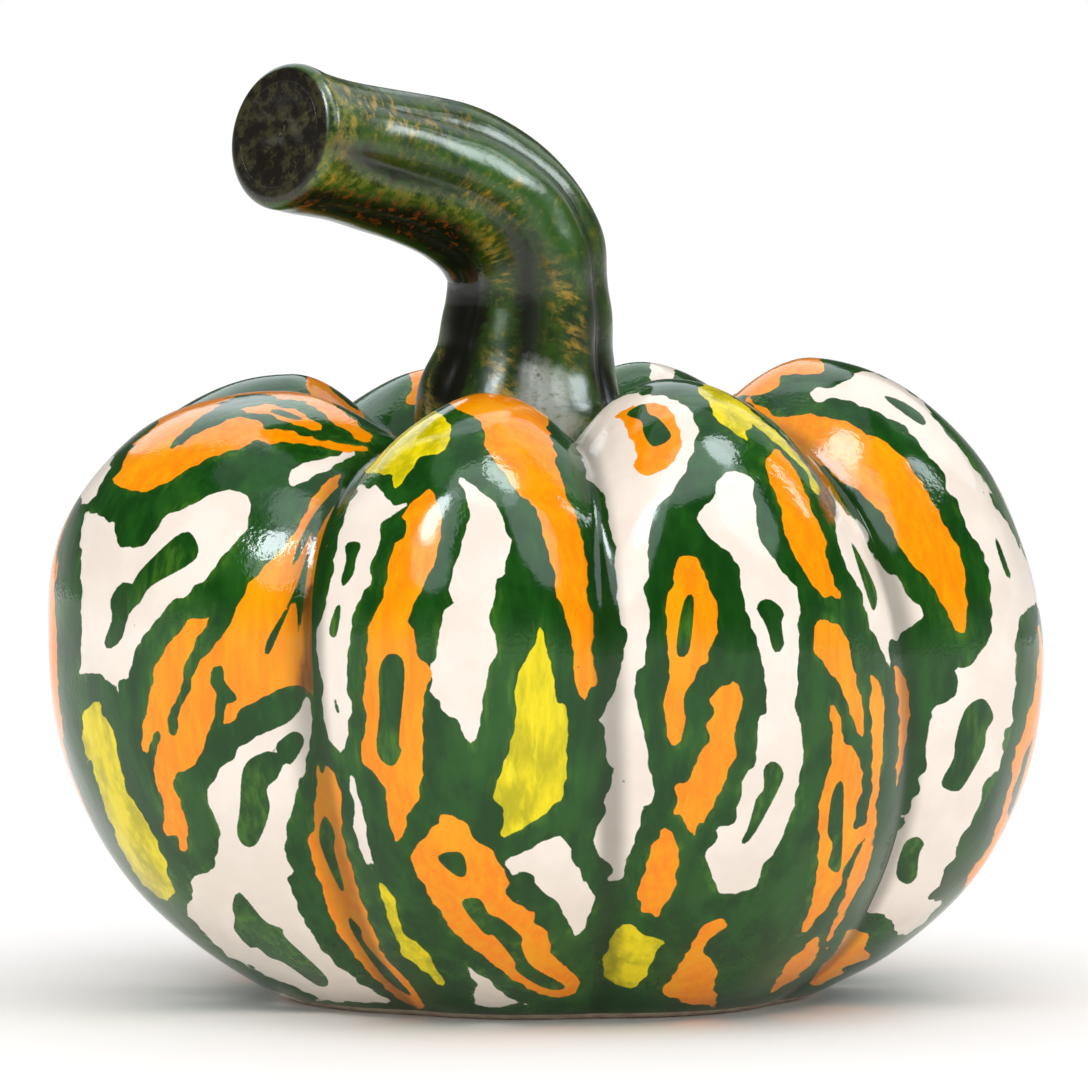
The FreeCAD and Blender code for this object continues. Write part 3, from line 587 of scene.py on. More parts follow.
def grid_mesh(name, rows, material, layers=None, closed=True):
    """Mesh over rows of points, each row a closed ring. closed joins the last row to the first."""
    height, width = rows.shape[:2]
    vertex = np.arange(height * width).reshape(height, width)
    if closed:
        vertex = np.vstack((vertex, vertex[:1]))
    right = np.roll(vertex, -1, axis=1)
    faces = np.stack((vertex[:-1], right[:-1], right[1:], vertex[1:]), axis=-1).reshape(-1, 4)
    mesh = bpy.data.meshes.new(name)
    mesh.from_pydata((rows.reshape(-1, 3) * MM).tolist(), [], faces.tolist())
    mesh.polygons.foreach_set("use_smooth", np.ones(len(faces), bool))
    for key, values in (layers or {}).items():
        kind, field = ("FLOAT_VECTOR", "vector") if values.ndim == 3 else ("FLOAT", "value")
        layer = mesh.attributes.new(key, kind, "POINT")
        layer.data.foreach_set(field, values.astype(np.float32).ravel())
    mesh.materials.append(material)
    mesh.update()
    return add_object(name, mesh)


def circle_row(angles, radius, height, x=0.0):
    """Ring of points at one height, in directions given in radians from the front."""
    return np.stack((radius * np.sin(angles) + x, -radius * np.cos(angles),
                     np.full_like(angles, height)), axis=-1)


# ---- Painting ----
def closed_curve(outline):
    """Smooth closed curve through the points of an outline."""
    start = np.array(outline, float)
    before, end, after = (np.roll(start, turn, axis=0) for turn in (1, -1, -2))
    shares = np.arange(CURVE_STEPS) / CURVE_STEPS
    return np.stack([spline(before, start, end, after, share) for share in shares], axis=1).reshape(-1, 2)


def inside_distance(points, curve):
    """Distance from points of the sheet to a closed curve, positive inside it."""
    following = np.roll(curve, -1, axis=0)
    span = following - curve
    offset = points[:, None] - curve[None]
    share = np.clip((offset * span).sum(-1) / np.maximum((span * span).sum(-1), TINY), 0.0, 1.0)
    nearest = np.sqrt(((offset - share[..., None] * span) ** 2).sum(-1).min(axis=1))
    rising = (curve[None, :, 1] > points[:, None, 1]) != (following[None, :, 1] > points[:, None, 1])
    slope = span[:, 0] / np.where(span[:, 1] == 0.0, TINY, span[:, 1])
    crossing = curve[None, :, 0] + (points[:, None, 1] - curve[None, :, 1]) * slope[None]
    inside = (rising & (points[:, None, 0] < crossing)).sum(axis=1) % 2 == 1
    return np.where(inside, nearest, -nearest)


def front_view(around, along):
    """Where points of the body lie on the painter's sheet, and how squarely they face the painter."""
    points, normals = body_points(around, along), body_normals(around, along)
    up = np.array((0.0, math.sin(SHEET_TILT), math.cos(SHEET_TILT)))
    ahead = np.array((0.0, math.cos(SHEET_TILT), -math.sin(SHEET_TILT)))
    offset = points - SHEET_CENTRE
    scale = SHEET_DISTANCE / (SHEET_DISTANCE + offset @ ahead)
    sheet = np.stack((offset[..., 0] * scale, SHEET_CENTRE[2] + (offset @ up) * scale), axis=-1)
    sight = unit(SHEET_CENTRE - SHEET_DISTANCE * ahead - points)
    return sheet, (normals * sight).sum(-1)


def lobe_columns(name):
    place = LOBE_NAMES.index(name)
    return slice(place * LOBE_COLUMNS, (place + 1) * LOBE_COLUMNS)


def paint_patches(paint, lobe, source, sheet, facing, room=None, swapped=False):
    """Adds the patches of a source lobe to one lobe's share of the paint.

    A lobe that repeats another's patches takes only the other's own ones, and they keep within
    its creases: room is each point's distance inside them.
    """
    for lobes, colour, outlines in PATCHES:
        if source not in (lobes if room is None else lobes[0]):
            continue
        layer = paint[SWAPPED[colour] if swapped else colour][:, lobe]
        for outline in outlines:
            curve = closed_curve(outline)
            low, high = curve.min(axis=0) - FAR, curve.max(axis=0) + FAR
            near = (facing > 0.0) & np.all((sheet > low) & (sheet < high), axis=-1)
            if not near.any():
                continue
            distance = inside_distance(sheet[near], curve)
            if room is not None:
                distance = np.minimum(distance, room[near])
            layer[near] = np.maximum(layer[near], distance)


def repeat_patches(paint, name, around, along, points, seen):
    """Paints the part of a back lobe that isn't seen from the front, after another lobe."""
    source, mirrored, swapped, stray = REPEATS[name]
    share = around - LOBE_NAMES.index(name)
    girth = 2.0 * math.pi * np.hypot(points[..., 0], points[..., 1])
    room = np.minimum(share, 1.0 - share) * girth / len(LOBES) - CREASE_MARGIN
    sheet, facing = front_view(LOBE_NAMES.index(source) + (1.0 - share if mirrored else share), along)
    sheet = sheet + stray * np.sin(sheet[..., ::-1] / (4.0 * stray) + stray)
    facing = np.where(seen, -1.0, facing)
    paint_patches(paint, lobe_columns(name), source, sheet, facing, room, swapped)


def widen_stroke(layer, points, line, half_widths):
    """Adds a tapered brush stroke to a layer of paint, as distances in space from its line."""
    for i in range(len(line) - 1):
        span = line[i + 1] - line[i]
        offset = points - line[i]
        part = np.clip(offset @ span / (span @ span), 0.0, 1.0)
        away = np.linalg.norm(offset - part[..., None] * span, axis=-1)
        layer[:] = np.maximum(layer, mix(half_widths[i], half_widths[i + 1], part) - away)


def paint_body(around, along, points):
    """Distance inside each colour, in millimetres, at every point of the body's side."""
    paint = {colour: np.full(around.shape, -FAR) for colour in LAYERS}
    for name in LOBE_NAMES:
        lobe = lobe_columns(name)
        sheet, facing = front_view(around[:, lobe], along[:, lobe])
        paint_patches(paint, lobe, name, sheet, facing)
        if name in REPEATS:
            repeat_patches(paint, name, around[:, lobe], along[:, lobe], points[:, lobe], facing > 0.0)
    for name, colour, stroke in STROKES:
        lobe = lobe_columns(name)
        share, height, half_widths = np.array(stroke, float).T
        line = body_points(LOBE_NAMES.index(name) + share, height)
        widen_stroke(paint[colour][:, lobe], points[:, lobe], line, half_widths)
    return {colour: np.clip(values, -FAR, FAR) for colour, values in paint.items()}


# ---- Materials ----
def srgb(code):
    """Linear colour from a hexadecimal sRGB code."""
    values = [int(code[i:i + 2], 16) / 255.0 for i in (0, 2, 4)]
    return tuple(v / 12.92 if v <= 0.04045 else ((v + 0.055) / 1.055) ** 2.4 for v in values) + (1.0,)


class Kit:
    """Builds a node tree a node at a time. Colours are given as sRGB codes."""

    def __init__(self, tree):
        self.tree = tree

    def node(self, kind, inputs=None, **settings):
        made = self.tree.nodes.new("ShaderNode" + kind)
        for key, value in settings.items():
            setattr(made, key, value)
        for key, value in (inputs or {}).items():
            if isinstance(value, bpy.types.NodeSocket):
                self.tree.links.new(value, made.inputs[key])
            else:
                made.inputs[key].default_value = srgb(value) if isinstance(value, str) else value
        return made

    def maths(self, operation, *values):
        return self.node("Math", dict(enumerate(values)), operation=operation).outputs[0]

    def product(self, first, *others):
        for other in others:
            first = self.maths("MULTIPLY", first, other)
        return first

    def ramp(self, value, low, high, start=0.0, end=1.0):
        """Smooth change from start to end while value goes from low to high."""
        inputs = {"Value": value, "From Min": low, "From Max": high, "To Min": start, "To Max": end}
        return self.node("MapRange", inputs, interpolation_type="SMOOTHSTEP").outputs[0]


class Shader(Kit):
    """One material, on the object's own coordinates."""

    def __init__(self, name):
        self.material = bpy.data.materials.new(name)
        self.material.use_nodes = True
        super().__init__(self.material.node_tree)
        self.tree.nodes.clear()
        self.place = self.node("TexCoord").outputs["Object"]

    def mix(self, share, first, second):
        inputs = {0: share, 6: first, 7: second}
        return self.node("Mix", inputs, data_type="RGBA", clamp_factor=True).outputs[2]

    def blend(self, noise, low, high, first, second, most=1.0):
        """The first colour, and most of the second where noise goes from low to high."""
        return self.mix(self.ramp(noise, low, high, 0.0, most), first, second)

    def attribute(self, name, output="Fac"):
        return self.node("Attribute", attribute_name=name, attribute_type="GEOMETRY").outputs[output]

    def within(self, layer, stray, soft, most=1.0):
        """0 outside a painted layer and most inside, with a soft border that strays."""
        return self.ramp(self.maths("ADD", self.attribute(layer), stray), -soft, soft, 0.0, most)

    def stray(self, noise, width):
        """Noise from 0 to 1 as a distance of up to half a width either way."""
        return self.maths("MULTIPLY_ADD", noise, width, -0.5 * width)

    def stretched(self, vector, scale, turn=None):
        if turn:
            vector = self.node("Mapping", {"Vector": vector, "Rotation": turn}).outputs[0]
        return self.node("Mapping", {"Vector": vector, "Scale": scale}).outputs[0]

    def noise(self, pitch, detail=2.0, vector=None, roughness=0.5):
        """Noise from 0 to 1 whose lumps are about pitch millimetres across."""
        inputs = {"Vector": vector or self.place, "Scale": 1.0 / (pitch * MM), "Detail": detail,
                  "Roughness": roughness}
        return self.node("TexNoise", inputs).outputs["Fac"]

    def cells(self, pitch, **inputs):
        """Outputs of a texture whose cells are about pitch millimetres across."""
        inputs = {"Vector": self.place, "Scale": 1.0 / (pitch * MM), **inputs}
        return self.node("TexVoronoi", inputs).outputs

    def bump(self, height, distance, normal=None):
        inputs = {"Height": height, "Distance": distance * MM, "Strength": 1.0}
        if normal:
            inputs["Normal"] = normal
        return self.node("Bump", inputs).outputs[0]

    def finish(self, **inputs):
        inputs = {key.replace("_", " "): value for key, value in inputs.items()}
        surface = self.node("BsdfPrincipled", inputs)
        self.node("OutputMaterial", {0: surface.outputs[0]})
        return self.material


def green_ground(kit, brushed, streaks, clouds):
    """Green, thin and yellowish in places beside the patches."""
    green = kit.blend(brushed, 0.36, 0.7, "103f0d", "1d5415")
    green = kit.blend(clouds, 0.5, 0.68, green, "2c5f1e", 0.5)
    border = kit.maths("ADD", kit.attribute("border"), kit.maths("MULTIPLY_ADD", brushed, 5.0, -2.9))
    thin = kit.product(kit.ramp(border, -2.4, -0.3), kit.ramp(streaks, 0.38, 0.7))
    return kit.mix(kit.product(thin, kit.ramp(clouds, 0.42, 0.6), 0.7), green, "4c7c22")


def pitted(kit, colour):
    """A colour with small pits, where the middle of a cell comes to the surface."""
    cells = kit.cells(7.0)
    chosen = kit.ramp(kit.maths("FRACT", kit.product(cells["Color"], 7.0)), 0.6, 0.62)
    return kit.mix(kit.product(kit.ramp(cells["Distance"], 0.05, 0.03), chosen, 0.55), colour, "6a6450")


def painted_glaze():
    """Brushed underglaze patches under a clear, slightly rippled glaze, with a bare clay foot.

    The creases get painted shade, and the deepest of them painted shadow.
    """
    kit = Shader("painted_glaze")
    ragged = kit.stray(kit.noise(RIPPLE_PITCH, 1.0), 0.2)
    wander = kit.maths("ADD", kit.stray(kit.cells(DAB_PITCH, Randomness=0.8)["Distance"], 1.0), ragged)
    upright = kit.stretched(kit.place, (1.0, 1.0, 0.3))
    brushed = kit.noise(5.0, 4.0, upright, 0.6)
    streaks = kit.noise(1.6, 3.0, kit.stretched(kit.place, (1.0, 1.0, 0.14)), 0.6)
    clouds = kit.noise(16.0, 2.0)

    green = green_ground(kit, brushed, streaks, clouds)
    cream = kit.blend(kit.noise(14.0, 3.0), 0.35, 0.65, "faeee2", "f1e4d7")
    orange = kit.blend(streaks, 0.3, 0.72, "ff8b00", "ffa000")
    orange = kit.blend(kit.noise(11.0, 2.0, upright), 0.5, 0.7, orange, "ffb000", 0.5)
    yellow = kit.blend(brushed, 0.36, 0.62, "bfb300", "f2dc00")
    yellow = kit.blend(streaks, 0.5, 0.75, yellow, "fdee20", 0.7)
    # colour of the painted shadow, orange in shade
    painted_shadow = kit.blend(streaks, 0.35, 0.7, "5a3208", "a8600c")
    colour = kit.mix(kit.within("cream", wander, 0.1), green, cream)
    colour = kit.mix(kit.within("orange", wander, 0.1), colour, orange)
    colour = kit.mix(kit.within("yellow", wander, 0.1), colour, yellow)
    # painted shadow in the deepest creases
    colour = kit.mix(kit.within("painted_shadow", wander, 0.8, 0.85), colour, painted_shadow)
    colour = kit.mix(kit.within("green", ragged, 0.1), colour, green)

    # painted shade: dark green laid over the pitted colour, deeper towards each crease
    colour = kit.mix(kit.attribute("hollow"), pitted(kit, colour), "14260c")
    clay = kit.within("clay", kit.stray(brushed, 1.2), 0.2)
    bisque = kit.blend(kit.noise(3.0, 4.0), 0.35, 0.65, "b9a48e", "d2c1ac")
    colour = kit.mix(clay, colour, bisque)

    peel = kit.product(kit.noise(RIPPLE_PITCH, 1.0), kit.ramp(clouds, 0.45, 0.6, 0.35, 1.3))
    swell = kit.bump(kit.noise(6.0, 1.0), 0.09, kit.bump(peel, 0.035))
    roughness = kit.ramp(clay, 0.0, 1.0, 0.10, 0.75)
    return kit.finish(Base_Color=colour, Roughness=roughness, IOR=CLEAR_GLAZE_IOR, Normal=swell)


def cut_face_colour(kit):
    return kit.blend(kit.noise(3.0, 4.0, None, 0.7), 0.44, 0.62, "1a1610", "39361f")


def stem_glaze():
    """Dark green glaze with feathered ochre dabs and black-umber stains, mostly in the flutes.

    Low on its front it has a painted reflection: a pale glint.
    """
    kit = Shader("stem_glaze")
    skin = kit.attribute("skin", "Vector")
    slant = (0.0, 0.0, math.radians(24.0))
    feather = kit.noise(1.7, 4.0, kit.stretched(skin, (0.42, 1.0, 0.42), slant), 0.7)
    fine = kit.noise(2.2, 4.0, skin, 0.7)
    cloud = kit.noise(8.0, 3.0, skin, 0.6)
    blot = kit.noise(14.0, 2.0, skin)
    wander = kit.maths("ADD", kit.stray(cloud, 8.0), kit.stray(fine, 6.0))

    colour = kit.blend(cloud, 0.36, 0.62, "1b3507", "365510")
    colour = kit.mix(kit.within("vivid", wander, 2.5, 0.8), colour, "2b5a12")
    colour = kit.blend(fine, 0.5, 0.7, colour, "636a16", 0.7)
    pale = kit.product(kit.within("olive", wander, 3.0), kit.ramp(fine, 0.38, 0.62), 0.65)
    colour = kit.mix(pale, colour, "7f8838")
    zone = kit.maths("MAXIMUM", kit.within("ochre", wander, 3.0), kit.ramp(blot, 0.58, 0.7, 0.0, 0.4))
    colour = kit.mix(kit.product(kit.ramp(feather, 0.47, 0.66), zone, 0.85), colour, "b5922a")
    flutes = kit.ramp(kit.maths("ADD", kit.attribute("groove"), kit.stray(cloud, 3.0)), 0.6, 1.2, 0.0, 0.6)
    soot = kit.maths("MAXIMUM", flutes, kit.within("soot", wander, 2.5, 0.97))
    colour = kit.mix(soot, colour, "100f06")
    embers = kit.product(kit.ramp(fine, 0.52, 0.66, 0.0, 0.7), kit.within("ember", wander, 2.5))
    colour = kit.mix(embers, colour, "8e4712")
    # painted reflection: a pale glint low on the stem's front
    painted_glint = kit.product(kit.within("painted_glint", wander, 3.0, 0.8), kit.ramp(fine, 0.78, 0.5))
    colour = kit.mix(painted_glint, colour, "b9bfb9")
    colour = kit.mix(kit.attribute("face"), colour, cut_face_colour(kit))
    swell = kit.bump(kit.noise(7.0, 2.0), 0.2, kit.bump(kit.noise(RIPPLE_PITCH, 2.0), 0.02))
    return kit.finish(Base_Color=colour, Roughness=0.22, IOR=GLAZE_IOR, Normal=swell)


def cut_face_glaze():
    """Black-umber glaze with olive mottling on the stem's cut end."""
    kit = Shader("stem_end_glaze")
    colour = kit.blend(kit.noise(4.0, 4.0, None, 0.7), 0.6, 0.72, cut_face_colour(kit), "7d7752", 0.6)
    bumps = kit.bump(kit.noise(1.6, 3.0), 0.12)
    return kit.finish(Base_Color=colour, Roughness=0.22, IOR=GLAZE_IOR, Normal=bumps)


def pooled_glaze():
    """Thick dark green glaze in the corner round the stem's foot."""
    kit = Shader("collar_glaze")
    colour = kit.blend(kit.noise(5.0, 3.0), 0.4, 0.62, "0d2509", "27491a")
    bumps = kit.bump(kit.noise(1.5, 2.0), 0.08)
    return kit.finish(Base_Color=colour, Roughness=0.1, IOR=GLAZE_IOR, Normal=bumps)


def bare_clay():
    """Unglazed, wiped clay with a little grog."""
    kit = Shader("bare_clay")
    grog = kit.noise(0.8, 3.0, None, 0.7)
    colour = kit.blend(kit.noise(12.0, 4.0), 0.35, 0.65, "bda892", "d6c6b2")
    colour = kit.blend(grog, 0.6, 0.75, colour, "8d7760", 0.5)
    return kit.finish(Base_Color=colour, Roughness=0.8, Normal=kit.bump(grog, 0.12))


# ---- The body ----
def foot_rows(around, lowest):
    """Rubbed-down edge of the foot, up to the lowest row of the side."""
    corner = body_points(around, np.zeros_like(around))
    inner = corner - unit(corner) * FOOT_ROUND
    return np.array([(1.0 - t) ** 2 * inner + 2.0 * t * (1.0 - t) * corner + t * t * lowest
                     for t in FOOT_STEPS])


def cavity_rows(around):
    """Inside of the body, one wall in from the outside, from the crown down to the floor."""
    rows = []
    for along in np.linspace(1.0, 0.0, CAVITY_ROWS):
        level = np.full_like(around, along)
        row = body_points(around, level) - body_normals(around, level) * BODY_WALL
        if along == 1.0:
            row = body_points(around, level) - np.array((0.0, 0.0, BODY_WALL))
        if along == 0.0:
            row[:, 2] = FLOOR
        rows.append(row)
    return rows


def inner_rows(around, rim):
    """Crown hole, cavity and base opening, from the side's top row round to its foot."""
    crown_angle = np.arctan2(rim[:, 0] - CROWN_X, -rim[:, 1])
    crown = [circle_row(crown_angle, CROWN_HOLE, height, CROWN_X)
             for height in (CROWN_HEIGHT, CROWN_HEIGHT - BODY_WALL)]
    corner = body_points(around, np.zeros_like(around))
    foot_angle = np.arctan2(corner[:, 0], -corner[:, 1])
    steps = ((BASE_OPENING, FLOOR), (BASE_OPENING, LEDGE_HEIGHT),
             (BASE_LEDGE, LEDGE_HEIGHT), (BASE_LEDGE, 0.0))
    base = [circle_row(foot_angle, radius, height) for radius, height in steps]
    return np.array(crown + cavity_rows(around) + base)


def pumpkin_body():
    """The lobed body with its foot, crown hole, cavity and base opening, as one closed mesh."""
    random = np.random.default_rng(SEED)
    step = np.arange(LOBE_COLUMNS) / LOBE_COLUMNS
    share = mix(step, 0.5 - 0.5 * np.cos(math.pi * step), COLUMN_CROWDING)
    around = np.concatenate([place + share for place in range(len(LOBES))])
    around_grid, along = np.meshgrid(around, np.linspace(FIRST_ROW, 1.0, SIDE_ROWS))
    points = body_points(around_grid, along)
    paint = paint_body(around_grid, along, points)
    waves = uneven(points, body_normals(around_grid, along), BODY_WAVES, random)
    fade = smooth((along - FIRST_ROW) / BODY_FADE) * smooth((1.0 - along) / BODY_FADE)
    side = points + (waves - points) * fade[..., None]
    below, above = foot_rows(around, side[0]), inner_rows(around, side[-1])

    def padded(values, foot, inside):
        """Values of the side's rows, with one for the rows below them and one for the rest."""
        ends = (len(below), len(above))
        return np.pad(values, (ends, (0, 0)), constant_values=((foot, inside), (0, 0)))

    layers = {colour: padded(values, -FAR, -FAR) for colour, values in paint.items()}
    patches = np.maximum.reduce([paint[colour] for colour in ("cream", "orange", "yellow")])
    layers["border"] = padded(np.minimum(patches, 0.0), -FAR, -FAR)
    layers["clay"] = padded(np.clip(CLAY_LINE - points[..., 2], -FAR, FAR), FAR, FAR)
    # painted shade, darkening towards each crease
    valley = 1.0 - crest_share(2.0 * (around_grid % 1.0) - 1.0)
    shade = CREASE_SHADE * smooth((valley - CREASE_START) / (1.0 - CREASE_START))
    layers["hollow"] = padded(shade, 0.0, 0.0)
    return grid_mesh("pumpkin_body", np.concatenate((below, side, above)), painted_glaze(), layers)


# ---- The stem ----
def stem_sections():
    """Centres, radii and frames of the stem's sections, each turning as little as it can."""
    stations = len(STEM_LINE)
    padded = np.vstack((2 * STEM_LINE[0] - STEM_LINE[1], STEM_LINE, 2 * STEM_LINE[-1] - STEM_LINE[-2]))
    places = np.linspace(0.0, stations - 1.0, STEM_ROWS)
    index = np.minimum(places.astype(int), stations - 2)
    line = spline(*(padded[index + i] for i in range(4)), (places - index)[:, None])
    tangents = unit(np.gradient(line[:, :3], axis=0))
    side = np.array((1.0, 0.0, 0.0))
    sides = []
    for tangent in tangents:
        side = unit(side - tangent * (side @ tangent))
        sides.append(side)
    sides = np.array(sides)
    return line[:, :3], line[:, 3], tangents, sides, np.cross(tangents, sides)


def stem_ring(section, angles, radius, push=0.0):
    """Ring of points round a section, pushed along the stem."""
    centre, tangent, side, across = section
    outward = side * np.cos(angles)[:, None] + across * np.sin(angles)[:, None]
    return centre + tangent * push + outward * np.broadcast_to(radius, angles.shape)[:, None]


def end_rings(end, angles, radius):
    """Rounded lip of the cut end and the seat inside it."""
    rings = []
    for bend in 0.5 * math.pi * np.arange(1, LIP_STEPS + 1) / LIP_STEPS:
        inset = LIP_ROUND * (1.0 - math.cos(bend))
        rings.append(stem_ring(end, angles, radius - inset, LIP_ROUND * math.sin(bend)))
    seat_floor = LIP_ROUND - CAP_DEPTH
    seat = ((CAP_SEAT + 3.0 * BEVEL, LIP_ROUND), (CAP_SEAT + BEVEL, LIP_ROUND),
            (CAP_SEAT, LIP_ROUND - BEVEL), (CAP_SEAT, seat_floor), (STEM_BORE, seat_floor))
    return rings + [stem_ring(end, angles, radius, push) for radius, push in seat]


def skin_place(angles, centres, spare):
    """The glaze's own coordinates: round the stem and along it, in metres."""
    steps = np.linalg.norm(np.diff(centres, axis=0), axis=1)
    length = np.cumsum(np.concatenate(((0.0,), steps, np.full(spare, SKIN_STEP))))
    parts = (np.cos(angles) * SKIN_RADIUS, length[:, None], np.sin(angles) * SKIN_RADIUS)
    return np.stack(np.broadcast_arrays(*parts), axis=-1) * MM


def stained_layers(outer, rows):
    """Distance inside each stain, in millimetres, at every point of the stem."""
    layers = {colour: np.full(rows.shape[:2], -FAR) for colour, _ in STAINS}
    for colour, stain in STAINS:
        angles, alongs, half_widths = np.array(stain, float).T
        columns = np.round(angles / 360.0 * STEM_COLUMNS).astype(int) % STEM_COLUMNS
        line = outer[np.round(alongs * (STEM_ROWS - 1)).astype(int), columns]
        widen_stroke(layers[colour], rows, line, half_widths)
    return layers


def hooked_stem():
    """The fluted stem with its lip, seat and bore, as one closed mesh, and the section it ends on."""
    random = np.random.default_rng(SEED + 1)
    centres, radii, tangents, sides, acrosses = stem_sections()
    sections = list(zip(centres, tangents, sides, acrosses))
    angles = ring_angles(STEM_COLUMNS)
    share = np.linspace(0.0, 1.0, STEM_ROWS)[:, None]
    depth = FLUTE_DEPTH * np.clip(FLUTE_FADE_IN * share, 0, 1) * np.clip(FLUTE_FADE_OUT * (1 - share), 0, 1)
    wave = np.cos(0.5 * FLUTES * (angles - np.radians(FLUTE_START + FLUTE_TWIST * share)))
    factor = 1.0 - depth * (1.0 - np.sqrt(wave ** 2 + FLUTE_SOFTNESS)) ** 2
    outer = np.array([stem_ring(s, angles, r * f) for s, r, f in zip(sections, radii, factor)])
    waves = uneven(outer, unit(outer - centres[:, None]), STEM_WAVES, random)
    fade = smooth(share / STEM_FADE) * smooth((1.0 - share) / STEM_FADE)
    outer = outer + (waves - outer) * fade[..., None]
    rings = end_rings(sections[-1], angles, radii[-1])
    for i in range(STEM_ROWS - BORE_STEP, -1, -BORE_STEP):
        bulge = min(1.0, HOLLOW_FADE * share[i, 0], HOLLOW_FADE * (1.0 - share[i, 0]))
        rings.append(stem_ring(sections[i], angles, mix(STEM_BORE, radii[i] - STEM_WALL, bulge)))
    rows = np.concatenate((outer, np.array(rings)))
    layers = stained_layers(outer, rows)
    layers["skin"] = skin_place(angles, centres, len(rings))
    layers["groove"] = np.full(rows.shape[:2], BORE_GROOVE)
    layers["groove"][:STEM_ROWS] = 1.0 - np.abs(wave)
    layers["face"] = np.zeros(rows.shape[:2])
    layers["face"][STEM_ROWS + FACE_FROM:] = 1.0
    return grid_mesh("hooked_stem", rows, stem_glaze(), layers), sections[-1]


def cut_face(end):
    """Uneven disc that closes the stem's cut end."""
    random = np.random.default_rng(SEED + 2)
    angles = ring_angles(FACE_COLUMNS)
    radius = CAP_SEAT - CAP_GAP
    spread = np.append(np.linspace(FACE_HUB, radius - 3.0 * BEVEL, FACE_RINGS), radius - BEVEL)
    rings = np.array([stem_ring(end, angles, r, LIP_ROUND) for r in spread])
    face = uneven(rings, np.broadcast_to(end[1], rings.shape), FACE_WAVES, random)
    inward = smooth(1.0 - spread / radius)[:, None, None]
    face = rings + (face - rings) * inward - end[1] * FACE_DISH * inward
    seat_floor = LIP_ROUND - CAP_DEPTH
    back = ((radius, LIP_ROUND - BEVEL), (radius, seat_floor), (FACE_HUB, seat_floor))
    back = np.array([stem_ring(end, angles, r, push) for r, push in back])
    return grid_mesh("stem_cut_face", np.concatenate((face, back)), cut_face_glaze())


def slip_collar():
    """Bead of slip and pooled glaze round the foot of the stem."""
    angles = ring_angles(COLLAR_COLUMNS)
    wave = sum(size * np.sin(count * angles + phase) for size, count, phase in COLLAR_WAVES)
    crest = COLLAR_PROFILE[0][1]
    rows = []
    for radius, height in COLLAR_PROFILE:
        spread = wave if 0.0 < height < crest else 0.0
        rows.append(circle_row(angles, radius + spread, CROWN_HEIGHT + height, CROWN_X))
    return grid_mesh("slip_collar", np.array(rows), pooled_glaze())


def assemble():
    body = pumpkin_body()
    stem, end = hooked_stem()
    pieces = (
        (body, "body_shell", "painted_glaze"),
        (stem, "stem", "stem_glaze"),
        (cut_face(end), "stem_end_cap", "stem_end_glaze"),
        (slip_collar(), "stem_slip_collar", "collar_glaze"),
    )
    for piece, node, slot in pieces:
        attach(piece, "root")
        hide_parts(node)
    base_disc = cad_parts["base_disc"].data
    base_disc.materials.clear()
    base_disc.materials.append(bare_clay())
    return stem


# ---- Studio ----
def studio_floor():
    kit = Shader("studio_floor")
    tone = kit.mix(kit.noise(400.0, 2.0), "fdfcfb", "ffffff")
    kit.finish(Base_Color=tone, Roughness=0.9)
    rows = np.array([circle_row(ring_angles(FLOOR_COLUMNS), radius, 0.0) for radius in FLOOR_RADII])
    floor = grid_mesh("studio_floor", rows, kit.material, closed=False)


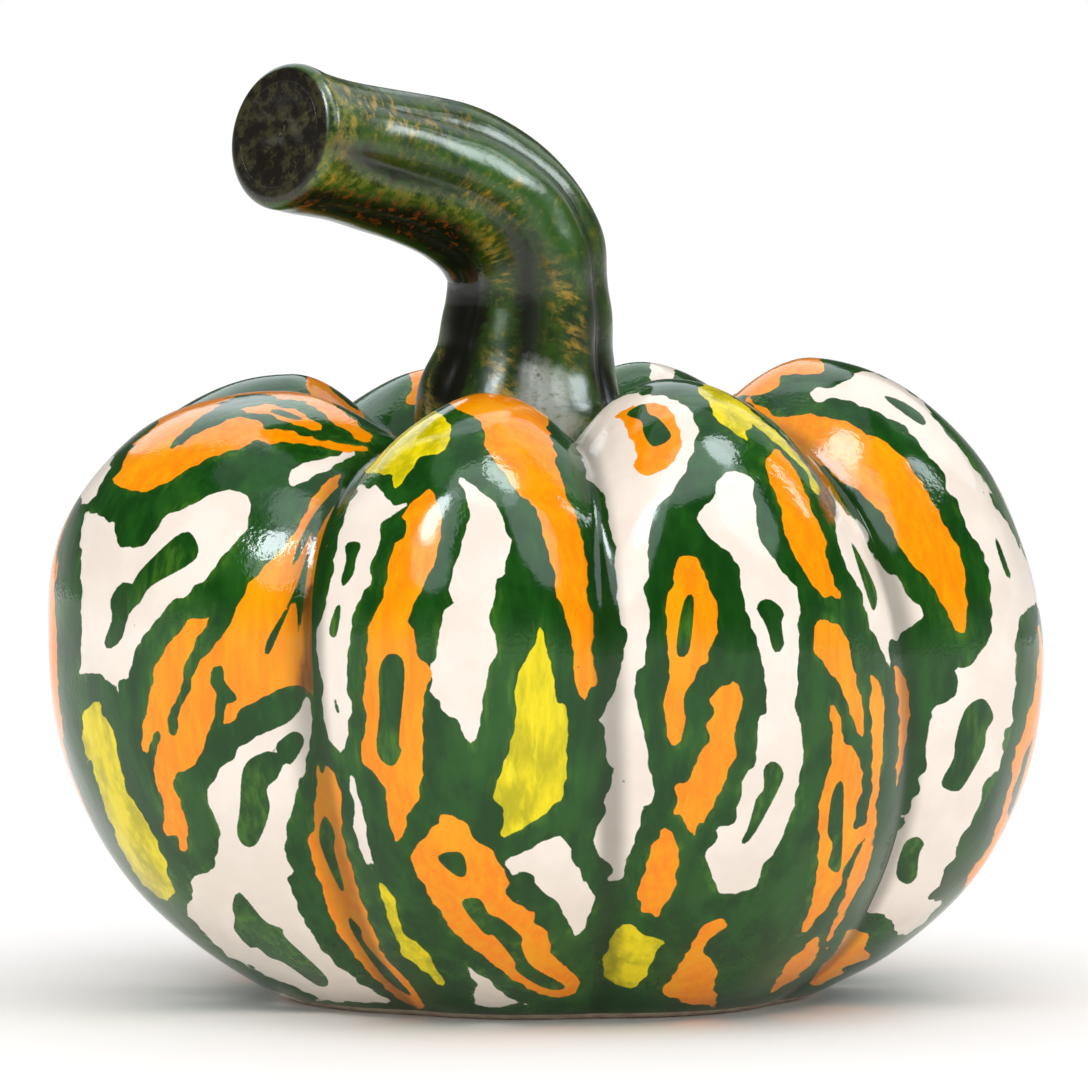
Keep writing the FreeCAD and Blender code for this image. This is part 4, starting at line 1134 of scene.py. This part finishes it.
def studio_world():
    """White surroundings, which show only dimly in the glaze, brighter towards the horizon."""
    world = bpy.data.worlds.new("studio")
    world.use_nodes = True
    kit = Kit(world.node_tree)
    background = kit.tree.nodes["Background"]
    background.inputs["Color"].default_value = (1.0, 1.0, 1.0, 1.0)
    sky = kit.node("TexCoord").outputs["Generated"]
    height = kit.node("SeparateXYZ", {"Vector": sky}).outputs["Z"]
    haze = kit.ramp(height, 0.0, HAZE_TOP, HORIZON_REFLECTION, WORLD_REFLECTION)
    rays = kit.node("LightPath").outputs
    level = kit.ramp(rays["Is Glossy Ray"], 0.0, 1.0, WORLD_LIGHT, haze)
    seen = kit.ramp(rays["Is Camera Ray"], 0.0, 1.0, level, 1.0)
    kit.tree.links.new(seen, background.inputs["Strength"])
    bpy.context.scene.world = world


def direction(azimuth, elevation):
    """Unit vector away from the figure, with azimuth in degrees from the front."""
    a, e = math.radians(azimuth), math.radians(elevation)
    return Vector((math.sin(a) * math.cos(e), -math.cos(a) * math.cos(e), math.sin(e)))


def aim(thing, toward):
    """Points a light or a camera back along a direction."""
    thing.rotation_euler = toward.to_track_quat("Z", "Y").to_euler()


def panel(name, azimuth, elevation, width, height, radiance):
    """Soft box that shows in the glaze. Its radiance is what the glaze reflects."""
    light = bpy.data.lights.new(name, "AREA")
    light.shape = "ELLIPSE"
    light.size = width
    light.size_y = height
    light.color = PANEL_COLOUR
    light.energy = radiance * math.pi * width * height * math.pi / 4.0
    lamp = add_object(name, light)
    toward = direction(azimuth, elevation)
    lamp.location = Vector(SHEET_CENTRE * MM) + toward * PANEL_DISTANCE
    aim(lamp, toward)
    lamp.visible_camera = False
    lamp.visible_diffuse = False
    return lamp


def soft_sun(azimuth, elevation, strength, spread):
    """Broad light that shapes the paint but doesn't show in the glaze."""
    light = bpy.data.lights.new("soft_sun", "SUN")
    light.energy = strength
    light.angle = math.radians(spread)
    lamp = add_object("soft_sun", light)
    aim(lamp, direction(azimuth, elevation))
    lamp.visible_glossy = False


def studio(stem):
    studio_floor()
    studio_world()
    soft_sun(*SUN)
    for values in PANELS:
        panel(*values)
    stem_only = bpy.data.collections.new("stem_only")
    stem_only.objects.link(stem)
    panel(*STEM_WINDOW).light_linking.receiver_collection = stem_only
    scene = bpy.context.scene
    scene.view_settings.view_transform = "Standard"
    scene.view_settings.look = "None"


def camera():
    lens = bpy.data.cameras.new("camera")
    lens.sensor_width = SENSOR
    lens.lens = SENSOR * CAMERA_SCALE * SHEET_DISTANCE / FRAME_WIDTH
    lens.clip_end = 100.0
    view = add_object("camera", lens)
    toward = direction(0.0, math.degrees(SHEET_TILT))
    view.location = Vector(SHEET_CENTRE * MM) + toward * SHEET_DISTANCE * MM
    aim(view, toward)
    bpy.context.scene.camera = view


studio(assemble())
camera()
